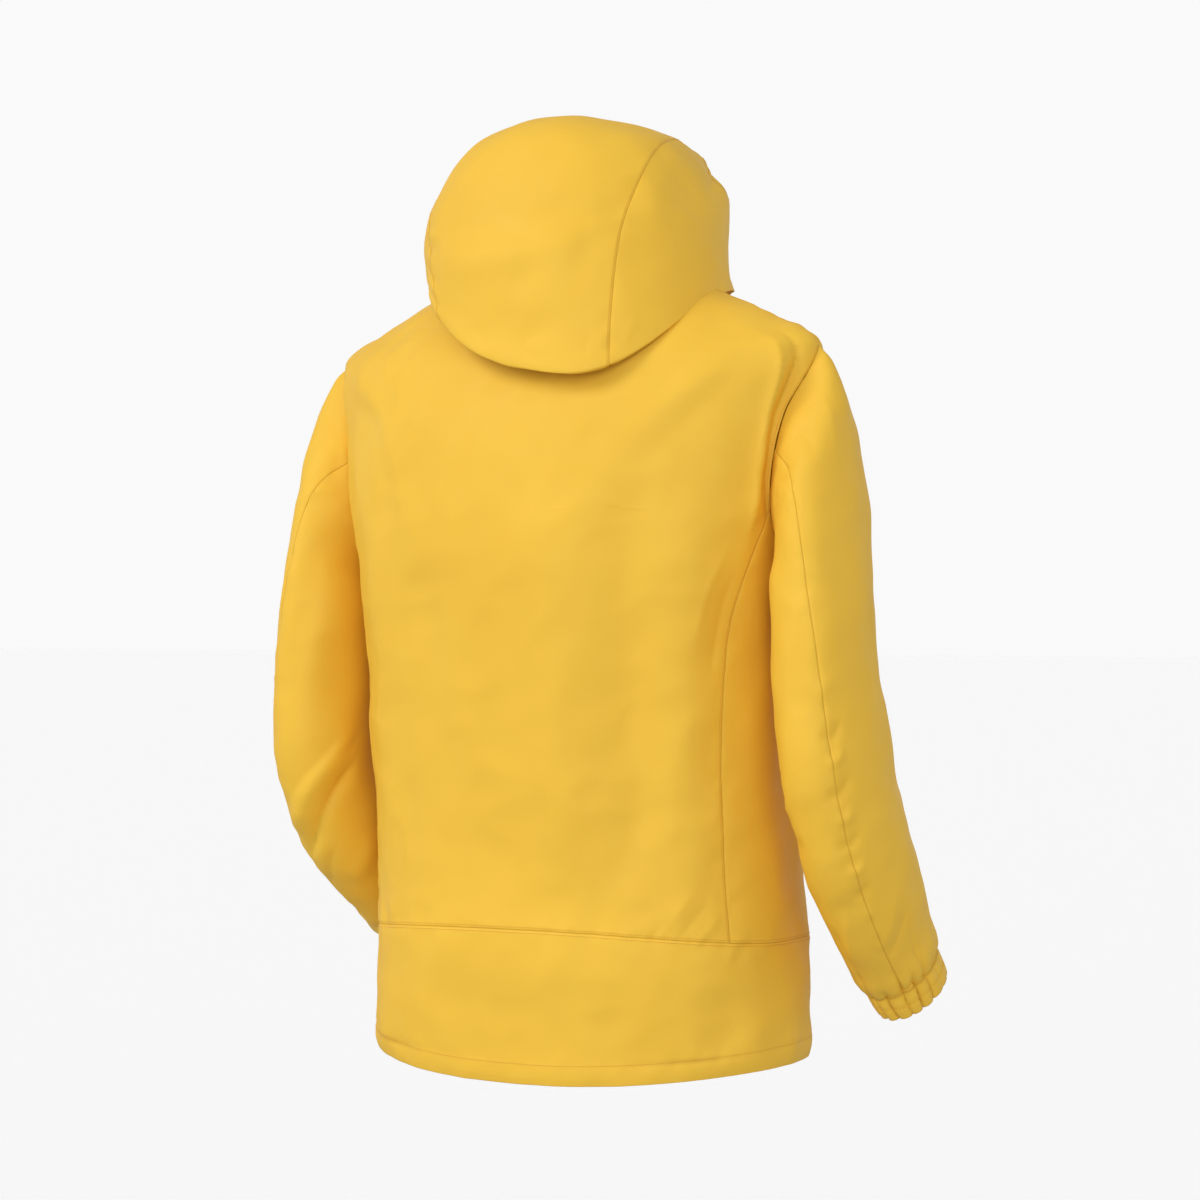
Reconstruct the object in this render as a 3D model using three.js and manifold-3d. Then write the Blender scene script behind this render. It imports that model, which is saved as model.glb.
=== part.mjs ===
// A hooded windbreaker jacket, worn by nobody, standing open and hollow in its worn pose.
// Units are millimetres. +Z is up, the front faces -Y and the wearer's left side is +X.
// The origin is the middle of the neck opening, where the wearer holds the jacket up.

import * as THREE from 'three';
import { mergeVertices } from 'three/addons/utils/BufferGeometryUtils.js';
import Module from 'manifold-3d';

// Cloth

const WALL = 1.5;
const SEAM_GAP = 0.3;
const SHELL_COLOUR = 0xf0b429;
const SHELL_ROUGHNESS = 0.6;
const TAPE_COLOUR = 0xc98f22;
const HARD_COLOUR = 0xd9a024;
const HARD_ROUGHNESS = 0.4;

// Levels of the body, as the height of a ring's side points

const HEM_LEVEL = -706;
const BAND_LEVEL = -598;
const SHOULDER_TIP_LEVEL = -80;
const ARMPIT_LEVEL = -258;
const NECK_LEVEL = 0;

// Rings of the body, from the hem up to the neck seam.
// side, back and front are distances along Y, halfWidth along X.
// backRise and frontRise lift the middle of the back and front above the side points.
// widthPower and depthPower shape the corners: under 1 is squarer, over 1 is more pointed.

const BODY_RINGS = [
  {
    level: -706, halfWidth: 207, side: -26, back: 115, front: -172, backRise: -16,
    frontRise: -4, widthPower: 0.88, depthPower: 0.88,
  },
  {
    level: -650, halfWidth: 204, side: -24, back: 116, front: -171, backRise: 0,
    frontRise: -6, widthPower: 0.88, depthPower: 0.88,
  },
  {
    level: -598, halfWidth: 202, side: -21, back: 118, front: -169, backRise: 12,
    frontRise: -8, widthPower: 0.88, depthPower: 0.88,
  },
  {
    level: -520, halfWidth: 200, side: -17, back: 121, front: -165, backRise: 8,
    frontRise: -5, widthPower: 0.88, depthPower: 0.88,
  },
  {
    level: -420, halfWidth: 202, side: -11, back: 129, front: -160, backRise: 4,
    frontRise: -2, widthPower: 0.88, depthPower: 0.88,
  },
  {
    level: -320, halfWidth: 205, side: -4, back: 138, front: -156, backRise: 2,
    frontRise: 0, widthPower: 0.88, depthPower: 0.88,
  },
  {
    level: -258, halfWidth: 211, side: 0, back: 142, front: -152, backRise: 0,
    frontRise: -2, widthPower: 0.87, depthPower: 0.88,
  },
  {
    level: -200, halfWidth: 219, side: 2, back: 139, front: -147, backRise: 0,
    frontRise: -8, widthPower: 0.87, depthPower: 0.94,
  },
  {
    level: -140, halfWidth: 229, side: 4, back: 130, front: -140, backRise: -5,
    frontRise: -20, widthPower: 0.9, depthPower: 1.1,
  },
  {
    level: -80, halfWidth: 242, side: 5, back: 114, front: -126, backRise: -16,
    frontRise: -44, widthPower: 0.97, depthPower: 1.35,
  },
  {
    level: -54, halfWidth: 202, side: 3, back: 103, front: -116, backRise: -17,
    frontRise: -56, widthPower: 1, depthPower: 1.4,
  },
  {
    level: -27, halfWidth: 143, side: 1, back: 85, front: -100, backRise: -10,
    frontRise: -68, widthPower: 1, depthPower: 1.25,
  },
  {
    level: 0, halfWidth: 82, side: 0, back: 62, front: -80, backRise: 6, frontRise: -80,
    widthPower: 1, depthPower: 1,
  },
];

// Seams of the body, as turns about the jacket: 0 is the middle of the back, 90 the side and 180 the front.

const BODY_SEAMS = [
  { level: -706, princess: 62, sideFront: 118 },
  { level: -598, princess: 61, sideFront: 118 },
  { level: -420, princess: 60, sideFront: 117 },
  { level: -340, princess: 63, sideFront: 115 },
  { level: -280, princess: 69, sideFront: 112 },
];

// Armholes

const ARMHOLE_BACK_TURN = 16;
const ARMHOLE_FRONT_TURN = 24;
const ARMHOLE_STEPS = 20;
const BACK_NOTCH_STEP = 7;
const FRONT_NOTCH_STEP = 13;
const BACK_SLEEVE_SEAM_STEP = 5;
const FRONT_SLEEVE_SEAM_STEP = 13;
const BACK_SEAM_DRIFT = 1.8;
const DRIFT_SHARE = 0.6;
const BLEND_RINGS = 2;
const MITRE_LIMIT = 0.8;
const EDGE_SHARE = 0.02;

// Rings of the hood, from the neck seam out over the shoulders, down to the fold that hangs behind,
// then up over the crown to the brim. shift and tilt lean a ring to the wearer's right, dipTurn turns
// its low point there, seamOut is how far out its seam lies, and openTurn is where it ends at the face.

const HOOD_RINGS = [
  {
    along: 0, halfWidth: 82, side: 0, back: 62, front: -80, sideHeight: 0, backRise: 6,
    frontRise: -80, widthPower: 1, depthPower: 1, risePower: 2, shift: 0, tilt: 0,
    dipTurn: 0, seamOut: 50, openTurn: 180,
  },
  {
    along: 1, halfWidth: 85, side: 0, back: 67, front: -84, sideHeight: 14, backRise: 6,
    frontRise: -82, widthPower: 1, depthPower: 1, risePower: 2, shift: 0, tilt: 0,
    dipTurn: 0, seamOut: 54, openTurn: 180,
  },
  {
    along: 2, halfWidth: 112, side: 0, back: 98, front: -90, sideHeight: 12, backRise: -16,
    frontRise: -62, widthPower: 0.92, depthPower: 0.95, risePower: 2, shift: -6,
    tilt: 0.03, dipTurn: -5, seamOut: 68, openTurn: 180,
  },
  {
    along: 3, halfWidth: 134, side: -2, back: 124, front: -97, sideHeight: 0,
    backRise: -58, frontRise: -24, widthPower: 0.84, depthPower: 0.86, risePower: 2,
    shift: -17, tilt: 0.04, dipTurn: -11, seamOut: 80, openTurn: 180,
  },
  {
    along: 4, halfWidth: 141, side: -3, back: 138, front: -103, sideHeight: -12,
    backRise: -90, frontRise: 4, widthPower: 0.8, depthPower: 0.82, risePower: 2,
    shift: -22, tilt: 0.045, dipTurn: -14, seamOut: 84, openTurn: 180,
  },
  {
    along: 5, halfWidth: 138, side: -4, back: 137, front: -109, sideHeight: 2,
    backRise: -62, frontRise: 8, widthPower: 0.83, depthPower: 0.86, risePower: 2,
    shift: -12, tilt: 0.05, dipTurn: -12, seamOut: 90, openTurn: 172,
  },
  {
    along: 6, halfWidth: 134, side: -6, back: 125, front: -124, sideHeight: 26,
    backRise: -18, frontRise: 12, widthPower: 0.86, depthPower: 0.88, risePower: 1.6,
    shift: 4, tilt: 0.02, dipTurn: -5, seamOut: 97, openTurn: 152,
  },
  {
    along: 7, halfWidth: 130, side: -14, back: 110, front: -138, sideHeight: 50,
    backRise: 12, frontRise: 14, widthPower: 0.88, depthPower: 0.9, risePower: 1.2,
    shift: 8, tilt: 0, dipTurn: 0, seamOut: 103, openTurn: 128,
  },
  {
    along: 8, halfWidth: 121, side: -40, back: 82, front: -150, sideHeight: 72,
    backRise: 38, frontRise: 10, widthPower: 0.92, depthPower: 0.95, risePower: 0.9,
    shift: 7, tilt: 0, dipTurn: 0, seamOut: 100, openTurn: 106,
  },
  {
    along: 9, halfWidth: 104, side: -78, back: 30, front: -150, sideHeight: 86,
    backRise: 45, frontRise: 0, widthPower: 0.95, depthPower: 0.95, risePower: 0.8,
    shift: 4, tilt: 0, dipTurn: 0, seamOut: 86, openTurn: 92,
  },
  {
    along: 10, halfWidth: 90, side: -100, back: -36, front: -150, sideHeight: 92,
    backRise: 38, frontRise: 0, widthPower: 0.95, depthPower: 0.95, risePower: 0.8,
    shift: 0, tilt: 0, dipTurn: 0, seamOut: 72, openTurn: 90,
  },
  {
    along: 11, halfWidth: 80, side: -110, back: -96, front: -150, sideHeight: 95,
    backRise: 20, frontRise: 0, widthPower: 0.95, depthPower: 0.95, risePower: 0.8,
    shift: 0, tilt: 0, dipTurn: 0, seamOut: 62, openTurn: 90,
  },
];
const NECK_SEAM_LIFT = 0.025;
const HOOD_ZIP_TOP_ALONG = 5;

// Rings of the sleeves below the armhole. pitch turns the sleeve from straight out to straight down,
// swing turns it forwards. halfWide is across the arm, halfDeep from back to front.

const SLEEVE_RINGS = {
  right: [
    { x: 228, y: 0, z: -169, pitch: 6, swing: 0, halfWide: 89, halfDeep: 50 },
    { x: 240, y: 4, z: -192, pitch: 17, swing: 0, halfWide: 74, halfDeep: 58 },
    { x: 246, y: 10, z: -236, pitch: 38, swing: 0, halfWide: 52, halfDeep: 63 },
    { x: 250, y: 18, z: -296, pitch: 70, swing: 0, halfWide: 42, halfDeep: 65 },
    { x: 257, y: 22, z: -368, pitch: 82, swing: 2, halfWide: 42, halfDeep: 66 },
    { x: 265, y: 18, z: -440, pitch: 83, swing: 12, halfWide: 43, halfDeep: 65 },
    { x: 271, y: -2, z: -505, pitch: 82, swing: 26, halfWide: 43, halfDeep: 62 },
    { x: 276, y: -38, z: -566, pitch: 81, swing: 33, halfWide: 41, halfDeep: 57 },
    { x: 281, y: -80, z: -624, pitch: 80, swing: 35, halfWide: 34, halfDeep: 43 },
  ],
  left: [
    { x: 228, y: 0, z: -169, pitch: 6, swing: 0, halfWide: 89, halfDeep: 50 },
    { x: 239, y: 4, z: -192, pitch: 17, swing: 0, halfWide: 74, halfDeep: 58 },
    { x: 245, y: 10, z: -236, pitch: 38, swing: 0, halfWide: 52, halfDeep: 64 },
    { x: 248, y: 18, z: -296, pitch: 70, swing: 0, halfWide: 42, halfDeep: 66 },
    { x: 253, y: 22, z: -368, pitch: 84, swing: 2, halfWide: 41, halfDeep: 66 },
    { x: 256, y: 20, z: -440, pitch: 90, swing: 16, halfWide: 41, halfDeep: 65 },
    { x: 251, y: -6, z: -500, pitch: 94, swing: 36, halfWide: 40, halfDeep: 60 },
    { x: 244, y: -52, z: -550, pitch: 95, swing: 45, halfWide: 37, halfDeep: 52 },
    { x: 240, y: -100, z: -598, pitch: 95, swing: 47, halfWide: 34, halfDeep: 40 },
  ],
};

// Elastic cuffs

const CUFF_LENGTH = 25;
const CUFF_PLEATS = 14;
const CUFF_STEPS_PER_PLEAT = 4;
const CUFF_PLEAT_DEPTH = 1.6;
const CUFF_ROWS = 2;
const CUFF_TAPER = 0.97;

// Front zip

const TAPE_HALF = 7.5;
const ZIP_BOTTOM_LEVEL = -690;
const ZIP_BODY_ROWS = 22;
const ZIP_COLLAR_ROWS = 5;

// Slider and pull tab, measured outwards from the tape and along it

const SLIDER = { halfWidth: 4.5, halfLength: 5.5, inner: 0.3, outer: 2.7 };
const BRIDGE = { halfWidth: 1.5, halfLength: 3.6, sunk: 0.4, outer: 6.5, eyeRadius: 1.15 };
const PIN_OUT = 4.4;
const PIN_RADIUS = 0.6;
const PULL = {
  halfWidth: 3.2, armInner: 1.9, halfThickness: 0.75, slotLength: 5.2, overlap: 1, length: 27, top: 1.2,
};

// How finely each piece is divided. A power over 1 sets the sleeve's rows closer at the armhole.

const SLEEVE_ROW_POWER = 1.15;

const DIVISIONS = {
  backAcross: 14,
  bandAcross: 8,
  frontAcross: 8,
  bodyRows: 13,
  bandRows: 4,
  shoulderRows: 5,
  hoodRows: 22,
  hoodCentreAcross: 8,
  hoodSideAcross: 10,
  sleeveRows: 18,
};

const rightAngle = Math.PI / 2;

function radians(degrees) {
  return degrees * Math.PI / 180;
}

function mix(a, b, share) {
  return a + (b - a) * share;
}

function smooth(share) {
  const t = Math.min(1, Math.max(0, share));
  return t * t * (3 - 2 * t);
}

function range(count) {
  return Array.from({ length: count }, (unused, index) => index);
}

// A row of a table at any place between its rows, along one increasing column, smooth through each row.
function rowAt(table, column, place) {
  const last = table.length - 1;
  let k = 0;
  while (k < last - 1 && table[k + 1][column] <= place) k += 1;
  const before = table[Math.max(0, k - 1)];
  const from = table[k];
  const to = table[k + 1];
  const after = table[Math.min(last, k + 2)];
  const span = to[column] - from[column];
  const t = (place - from[column]) / span;
  const row = {};
  for (const key of Object.keys(from)) {
    const rise = to[key] - from[key];
    const slopeIn = before === from ? rise : (to[key] - before[key]) * span / (to[column] - before[column]);
    const slopeOut = after === to ? rise : (after[key] - from[key]) * span / (after[column] - from[column]);
    const t2 = t * t;
    const t3 = t2 * t;
    row[key] = from[key] * (2 * t3 - 3 * t2 + 1) + slopeIn * (t3 - 2 * t2 + t)
      + to[key] * (3 * t2 - 2 * t3) + slopeOut * (t3 - t2);
  }
  return row;
}

// A point of a ring at a turn in degrees, from the middle of the back towards the wearer's left.
function ringPoint(ring, height, risePower, turn, dipTurn = 0) {
  const sine = Math.sin(radians(turn));
  const cosine = Math.cos(radians(turn));
  const dip = Math.cos(radians(turn - dipTurn));
  const reach = Math.abs(cosine) ** ring.depthPower;
  const end = cosine > 0 ? ring.back : ring.front;
  const rise = dip > 0 ? ring.backRise : ring.frontRise;
  return new THREE.Vector3(
    ring.halfWidth * Math.sign(sine) * Math.abs(sine) ** ring.widthPower,
    ring.side + (end - ring.side) * reach,
    height + rise * Math.abs(dip) ** risePower,
  );
}

function bodyPoint(level, turn) {
  return ringPoint(rowAt(BODY_RINGS, 'level', level), level, 2, turn);
}

function hoodPoint(along, turn) {
  const ring = rowAt(HOOD_RINGS, 'along', along);
  const point = ringPoint(ring, ring.sideHeight, ring.risePower, turn, ring.dipTurn);
  point.z += ring.tilt * point.x;
  point.x += ring.shift * (1 + Math.cos(radians(turn))) / 2;
  return point;
}

// The turn at which a surface lies a given distance out from the middle of its back or front.
const SEARCH_STEPS = 40;
const SEARCH_TURN = 90;

function turnAtDistance(surface, place, distance) {
  let near = 0;
  let far = SEARCH_TURN;
  for (let step = 0; step < SEARCH_STEPS; step += 1) {
    const middle = (near + far) / 2;
    if (Math.abs(surface(place, middle).x) < distance) near = middle;
    else far = middle;
  }
  return (near + far) / 2;
}

// Level and turn of the armhole edge at a step around it, from the shoulder tip back and down.
function armholePlace(step) {
  const beta = 2 * Math.PI * step / ARMHOLE_STEPS;
  const middle = (SHOULDER_TIP_LEVEL + ARMPIT_LEVEL) / 2;
  const half = (SHOULDER_TIP_LEVEL - ARMPIT_LEVEL) / 2;
  const sine = Math.sin(beta);
  const reach = sine > 0 ? ARMHOLE_BACK_TURN : ARMHOLE_FRONT_TURN;
  return { level: middle + half * Math.cos(beta), turn: 90 - reach * sine };
}

function armholePoint(step) {
  const place = armholePlace(step);
  return bodyPoint(place.level, place.turn);
}

// Sleeves. Their rings are ellipses, and near the armhole they give way to its edge.

// The directions of a sleeve's ring: along the arm, up and outwards across it, and backwards across it
function armDirections(ring, side) {
  const pitch = radians(ring.pitch);
  const swing = radians(ring.swing);
  const down = Math.sin(pitch);
  const out = Math.cos(pitch);
  return {
    along: new THREE.Vector3(side * out, -down * Math.sin(swing), -down * Math.cos(swing)),
    up: new THREE.Vector3(side * down, out * Math.sin(swing), out * Math.cos(swing)),
    backwards: new THREE.Vector3(0, Math.cos(swing), -Math.sin(swing)),
  };
}

function sleeveRing(ring, side, step) {
  const beta = 2 * Math.PI * step / ARMHOLE_STEPS;
  const { up, backwards } = armDirections(ring, side);
  return new THREE.Vector3(side * ring.x, ring.y, ring.z)
    .addScaledVector(up, ring.halfWide * Math.cos(beta))
    .addScaledVector(backwards, ring.halfDeep * Math.sin(beta));
}

function sleeveTable(side) {
  const rows = side > 0 ? SLEEVE_RINGS.left : SLEEVE_RINGS.right;
  return rows.map((row, index) => ({ ...row, along: index }));
}

function sleevePoint(side, share, step) {
  const table = sleeveTable(side);
  const along = share * (table.length - 1);
  const point = sleeveRing(rowAt(table, 'along', along), side, step);
  const edge = armholePoint(step);
  edge.x *= side;
  const hold = 1 - smooth(along / BLEND_RINGS);
  return point.addScaledVector(edge.sub(sleeveRing(table[0], side, step)), hold);
}

function wristFrame(side) {
  const ring = sleeveTable(side).at(-1);
  const centre = new THREE.Vector3(side * ring.x, ring.y, ring.z);
  return { ring, centre, ...armDirections(ring, side) };
}

// Outward direction of a surface at a place, from four points close around it
function surfaceNormal(surface, u, v, stepU, stepV, outward) {
  const acrossU = surface(u + stepU, v).sub(surface(u - stepU, v));
  const acrossV = surface(u, v + stepV).sub(surface(u, v - stepV));
  return acrossU.cross(acrossV).multiplyScalar(outward).normalize();
}

function bodyNormal(level, turn) {
  const inside = Math.min(NECK_LEVEL - 0.5, Math.max(HEM_LEVEL + 0.5, level));
  return surfaceNormal(bodyPoint, inside, turn, 0.5, 0.05, 1);
}

function hoodNormal(along, turn) {
  const inside = Math.min(HOOD_RINGS.length - 1.01, Math.max(0.01, along));
  return surfaceNormal(hoodPoint, inside, turn, 0.01, 0.05, 1);
}

function sleeveNormal(side, share, step) {
  const inside = Math.min(0.998, Math.max(0.002, share));
  return surfaceNormal((u, v) => sleevePoint(side, u, v), inside, step, 0.002, 0.05, side);
}

// The direction in which a wall goes in from its edge, at a seam with another wall.
// Where the two meet as a ridge, both end on a shared mitre, so that neither enters the other.
function edgeNormal(own, other, ridge) {
  if (!ridge) return own;
  const middle = own.clone().add(other).normalize();
  return middle.multiplyScalar(1 / Math.max(MITRE_LIMIT, middle.dot(own)));
}

function armholeNormals(side, step) {
  const place = armholePlace(step);
  const body = bodyNormal(place.level, side * place.turn);
  const sleeve = sleeveNormal(side, 0, step);
  const run = sleevePoint(side, EDGE_SHARE, step).sub(sleevePoint(side, 0, step));
  const ridge = run.dot(body) < 0;
  return { body: edgeNormal(body, sleeve, ridge), sleeve: edgeNormal(sleeve, body, ridge) };
}

// Moves the edge points of a grid half a seam gap inwards, towards their neighbours.
function trimEdges(grid, wrap) {
  const rows = grid.length;
  const columns = grid[0].length;
  const moved = grid.map((line) => line.map((place) => place.point.clone()));
  for (const row of range(rows)) {
    for (const column of range(columns)) {
      const targets = [];
      if (row === 0) targets.push(grid[1][column]);
      if (row === rows - 1) targets.push(grid[rows - 2][column]);
      if (!wrap && column === 0) targets.push(grid[row][1]);
      if (!wrap && column === columns - 1) targets.push(grid[row][columns - 2]);
      for (const target of targets) {
        const towards = target.point.clone().sub(grid[row][column].point).normalize();
        moved[row][column].addScaledVector(towards, SEAM_GAP / 2);
      }
    }
  }
  return moved;
}

// A closed wall from a grid of places: its outer face, its inner face one wall further in, and its edges.
function wallGeometry(grid, wrap = false) {
  const rows = grid.length;
  const columns = grid[0].length;
  const outer = trimEdges(grid, wrap);
  const positions = [];
  for (const row of range(rows)) {
    for (const column of range(columns)) positions.push(...outer[row][column].toArray());
  }
  for (const row of range(rows)) {
    for (const column of range(columns)) {
      const inner = outer[row][column].clone().addScaledVector(grid[row][column].normal, -WALL);
      positions.push(...inner.toArray());
    }
  }
  const offset = rows * columns;
  const at = (row, column) => row * columns + (column % columns);
  const indices = [];
  const quad = (a, b, c, d) => indices.push(a, b, c, a, c, d);
  const cells = wrap ? columns : columns - 1;
  for (const row of range(rows - 1)) {
    for (const column of range(cells)) {
      const a = at(row, column);
      const b = at(row, column + 1);
      const c = at(row + 1, column + 1);
      const d = at(row + 1, column);
      quad(a, b, c, d);
      quad(offset + a, offset + d, offset + c, offset + b);
    }
  }
  for (const column of range(cells)) {
    quad(at(0, column + 1), at(0, column), offset + at(0, column), offset + at(0, column + 1));
    const end = rows - 1;
    quad(at(end, column), at(end, column + 1), offset + at(end, column + 1), offset + at(end, column));
  }
  if (!wrap) {
    for (const row of range(rows - 1)) {
      const end = columns - 1;
      quad(at(row, 0), at(row + 1, 0), offset + at(row + 1, 0), offset + at(row, 0));
      quad(at(row, end), offset + at(row, end), offset + at(row + 1, end), at(row + 1, end));
    }
  }
  return facingOut(positions, indices);
}

// The triangles of a closed mesh, turned over if they face in.
function facingOut(positions, indices) {
  const corner = (index) => new THREE.Vector3().fromArray(positions, 3 * index);
  let volume = 0;
  for (let k = 0; k < indices.length; k += 3) {
    volume += corner(indices[k]).dot(corner(indices[k + 1]).cross(corner(indices[k + 2])));
  }
  if (volume < 0) {
    for (let k = 0; k < indices.length; k += 3) [indices[k], indices[k + 1]] = [indices[k + 1], indices[k]];
  }
  const geometry = new THREE.BufferGeometry();
  geometry.setAttribute('position', new THREE.Float32BufferAttribute(positions, 3));
  geometry.setIndex(indices);
  geometry.computeVertexNormals();
  return geometry;
}

// Rows that back, side and front panels share, so that their seams meet point for point.

function levelsBetween(low, high, count) {
  return range(count + 1).map((k) => mix(low, high, k / count));
}

const NOTCH_LEVEL = armholePlace(BACK_NOTCH_STEP).level;
const LOWER_LEVELS = levelsBetween(BAND_LEVEL, NOTCH_LEVEL, DIVISIONS.bodyRows);
const BAND_LEVELS = levelsBetween(HEM_LEVEL, BAND_LEVEL, DIVISIONS.bandRows);
const SHOULDER_LEVELS = levelsBetween(SHOULDER_TIP_LEVEL, NECK_LEVEL, DIVISIONS.shoulderRows);

function armholeRows() {
  return range(BACK_NOTCH_STEP).map((k) => BACK_NOTCH_STEP - 1 - k);
}

const SEAMS_TO_ARMHOLE = [
  ...BODY_SEAMS,
  {
    level: NOTCH_LEVEL, princess: armholePlace(BACK_NOTCH_STEP).turn,
    sideFront: armholePlace(FRONT_NOTCH_STEP).turn,
  },
];

function seamTurns(level) {
  return rowAt(SEAMS_TO_ARMHOLE, 'level', Math.min(NOTCH_LEVEL, level));
}

function bodyPlace(level, turn) {
  return { point: bodyPoint(level, turn), normal: bodyNormal(level, turn) };
}

// The back's outer edge at each of its rows, as level and turn on the wearer's left
function backEdge() {
  const edge = LOWER_LEVELS.map((level) => ({ level, turn: seamTurns(level).princess }));
  edge[edge.length - 1] = { ...armholePlace(BACK_NOTCH_STEP), step: BACK_NOTCH_STEP };
  for (const step of armholeRows()) edge.push({ ...armholePlace(step), step });
  for (const level of SHOULDER_LEVELS.slice(1)) edge.push({ level, turn: 90 });
  return edge;
}

function backCentre() {
  const across = DIVISIONS.backAcross;
  const grid = backEdge().map((edge) => range(across + 1).map((k) => {
    const share = 2 * k / across - 1;
    const turn = share * edge.turn;
    const place = bodyPlace(edge.level, turn);
    if (Math.abs(share) === 1 && edge.step !== undefined) {
      place.normal = armholeNormals(share, edge.step).body;
    }
    return place;
  }));
  return wallGeometry(grid);
}

// A side panel runs from the band up to the lower part of the armhole, so its top dips along that edge.
function backSide(side) {
  const steps = FRONT_NOTCH_STEP - BACK_NOTCH_STEP;
  const grid = LOWER_LEVELS.map((nominal, row) => range(steps + 1).map((k) => {
    const top = armholePlace(BACK_NOTCH_STEP + k);
    const lift = row / DIVISIONS.bodyRows;
    const level = mix(BAND_LEVEL, top.level, lift);
    const seams = seamTurns(nominal);
    const ends = seamTurns(NOTCH_LEVEL);
    const bend = top.turn - mix(ends.princess, ends.sideFront, k / steps);
    const turn = mix(seams.princess, seams.sideFront, k / steps) + bend * smooth(2 * lift - 1);
    const place = bodyPlace(level, side * turn);
    if (row === DIVISIONS.bodyRows) {
      place.point = bodyPoint(top.level, side * top.turn);
      place.normal = armholeNormals(side, BACK_NOTCH_STEP + k).body;
    }
    return place;
  }));
  return wallGeometry(grid);
}

// The lower band crosses the back from one side-front seam to the other.
function backLower() {
  const grid = BAND_LEVELS.map((level) => {
    const seams = seamTurns(level);
    const outer = range(DIVISIONS.bandAcross + 1).slice(1).map((k) => k / DIVISIONS.bandAcross);
    const turns = [
      ...outer.slice().reverse().map((share) => -mix(seams.princess, seams.sideFront, share)),
      ...range(DIVISIONS.backAcross + 1).map((k) => (2 * k / DIVISIONS.backAcross - 1) * seams.princess),
      ...outer.map((share) => mix(seams.princess, seams.sideFront, share)),
    ];
    return turns.map((turn) => bodyPlace(level, turn));
  });
  return wallGeometry(grid);
}

function bodyFromFront(level, turn) {
  return bodyPoint(level, 180 - turn);
}

function frontPanel(side) {
  const edge = [
    ...BAND_LEVELS.slice(0, -1).map((level) => ({ level, turn: seamTurns(level).sideFront })),
    ...LOWER_LEVELS.map((level) => ({ level, turn: seamTurns(level).sideFront })),
  ];
  edge[edge.length - 1] = { ...armholePlace(FRONT_NOTCH_STEP), step: FRONT_NOTCH_STEP };
  for (const back of armholeRows()) {
    const step = ARMHOLE_STEPS - back;
    edge.push({ ...armholePlace(step), step });
  }
  for (const level of SHOULDER_LEVELS.slice(1)) edge.push({ level, turn: 90 });
  const across = DIVISIONS.frontAcross;
  const grid = edge.map((row) => {
    const zipTurn = turnAtDistance(bodyFromFront, row.level, TAPE_HALF);
    return range(across + 1).map((k) => {
      const turn = side * mix(row.turn, 180 - zipTurn, k / across);
      const place = bodyPlace(row.level, turn);
      if (k === 0 && row.step !== undefined) place.normal = armholeNormals(side, row.step).body;
      return place;
    });
  });
  return wallGeometry(grid);
}

// Hood

const HOOD_PLACES = range(DIVISIONS.hoodRows + 1).map((k) => (
  mix(NECK_SEAM_LIFT, HOOD_RINGS.length - 1, k / DIVISIONS.hoodRows)
));

function hoodSeamTurn(along) {
  const ring = rowAt(HOOD_RINGS, 'along', along);
  return turnAtDistance((place, turn) => ringPoint(ring, 0, 1, turn), along, ring.seamOut);
}

function hoodPlace(along, turn) {
  return { point: hoodPoint(along, turn), normal: hoodNormal(along, turn) };
}

function hoodCentre() {
  const across = DIVISIONS.hoodCentreAcross;
  const grid = HOOD_PLACES.map((along) => {
    const seam = hoodSeamTurn(along);
    return range(across + 1).map((k) => hoodPlace(along, (2 * k / across - 1) * seam));
  });
  return wallGeometry(grid);
}

function hoodOpenTurn(along) {
  const open = rowAt(HOOD_RINGS, 'along', along).openTurn;
  if (along > HOOD_ZIP_TOP_ALONG) return open;
  const zip = turnAtDistance((place, back) => hoodPoint(place, 180 - back), along, TAPE_HALF);
  return 180 - zip;
}

function hoodSide(side) {
  const across = DIVISIONS.hoodSideAcross;
  const grid = HOOD_PLACES.map((along) => {
    const seam = hoodSeamTurn(along);
    const open = hoodOpenTurn(along);
    return range(across + 1).map((k) => hoodPlace(along, side * mix(seam, open, k / across)));
  });
  return wallGeometry(grid);
}

// Sleeves

// The back seam of the sleeve starts at its armhole step and drifts outwards on its way down.
function backSeamStep(share) {
  return BACK_SLEEVE_SEAM_STEP - BACK_SEAM_DRIFT * smooth(share / DRIFT_SHARE);
}

function sleevePanel(side, isUpper) {
  const rows = DIVISIONS.sleeveRows;
  const wrist = wristFrame(side);
  const first = isUpper ? FRONT_SLEEVE_SEAM_STEP : BACK_SLEEVE_SEAM_STEP;
  const last = isUpper ? ARMHOLE_STEPS + BACK_SLEEVE_SEAM_STEP : FRONT_SLEEVE_SEAM_STEP;
  const columns = last - first;
  const grid = range(rows + 1).map((row) => range(columns + 1).map((k) => {
    const share = (row / rows) ** SLEEVE_ROW_POWER;
    const from = isUpper ? FRONT_SLEEVE_SEAM_STEP : backSeamStep(share);
    const to = isUpper ? ARMHOLE_STEPS + backSeamStep(share) : FRONT_SLEEVE_SEAM_STEP;
    const step = mix(from, to, k / columns);
    const place = { point: sleevePoint(side, share, step), normal: sleeveNormal(side, share, step) };
    if (row === 0) place.normal = armholeNormals(side, step).sleeve;
    if (row === rows) place.normal = place.normal.projectOnPlane(wrist.along).normalize();
    return place;
  }));
  return wallGeometry(grid);
}

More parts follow.
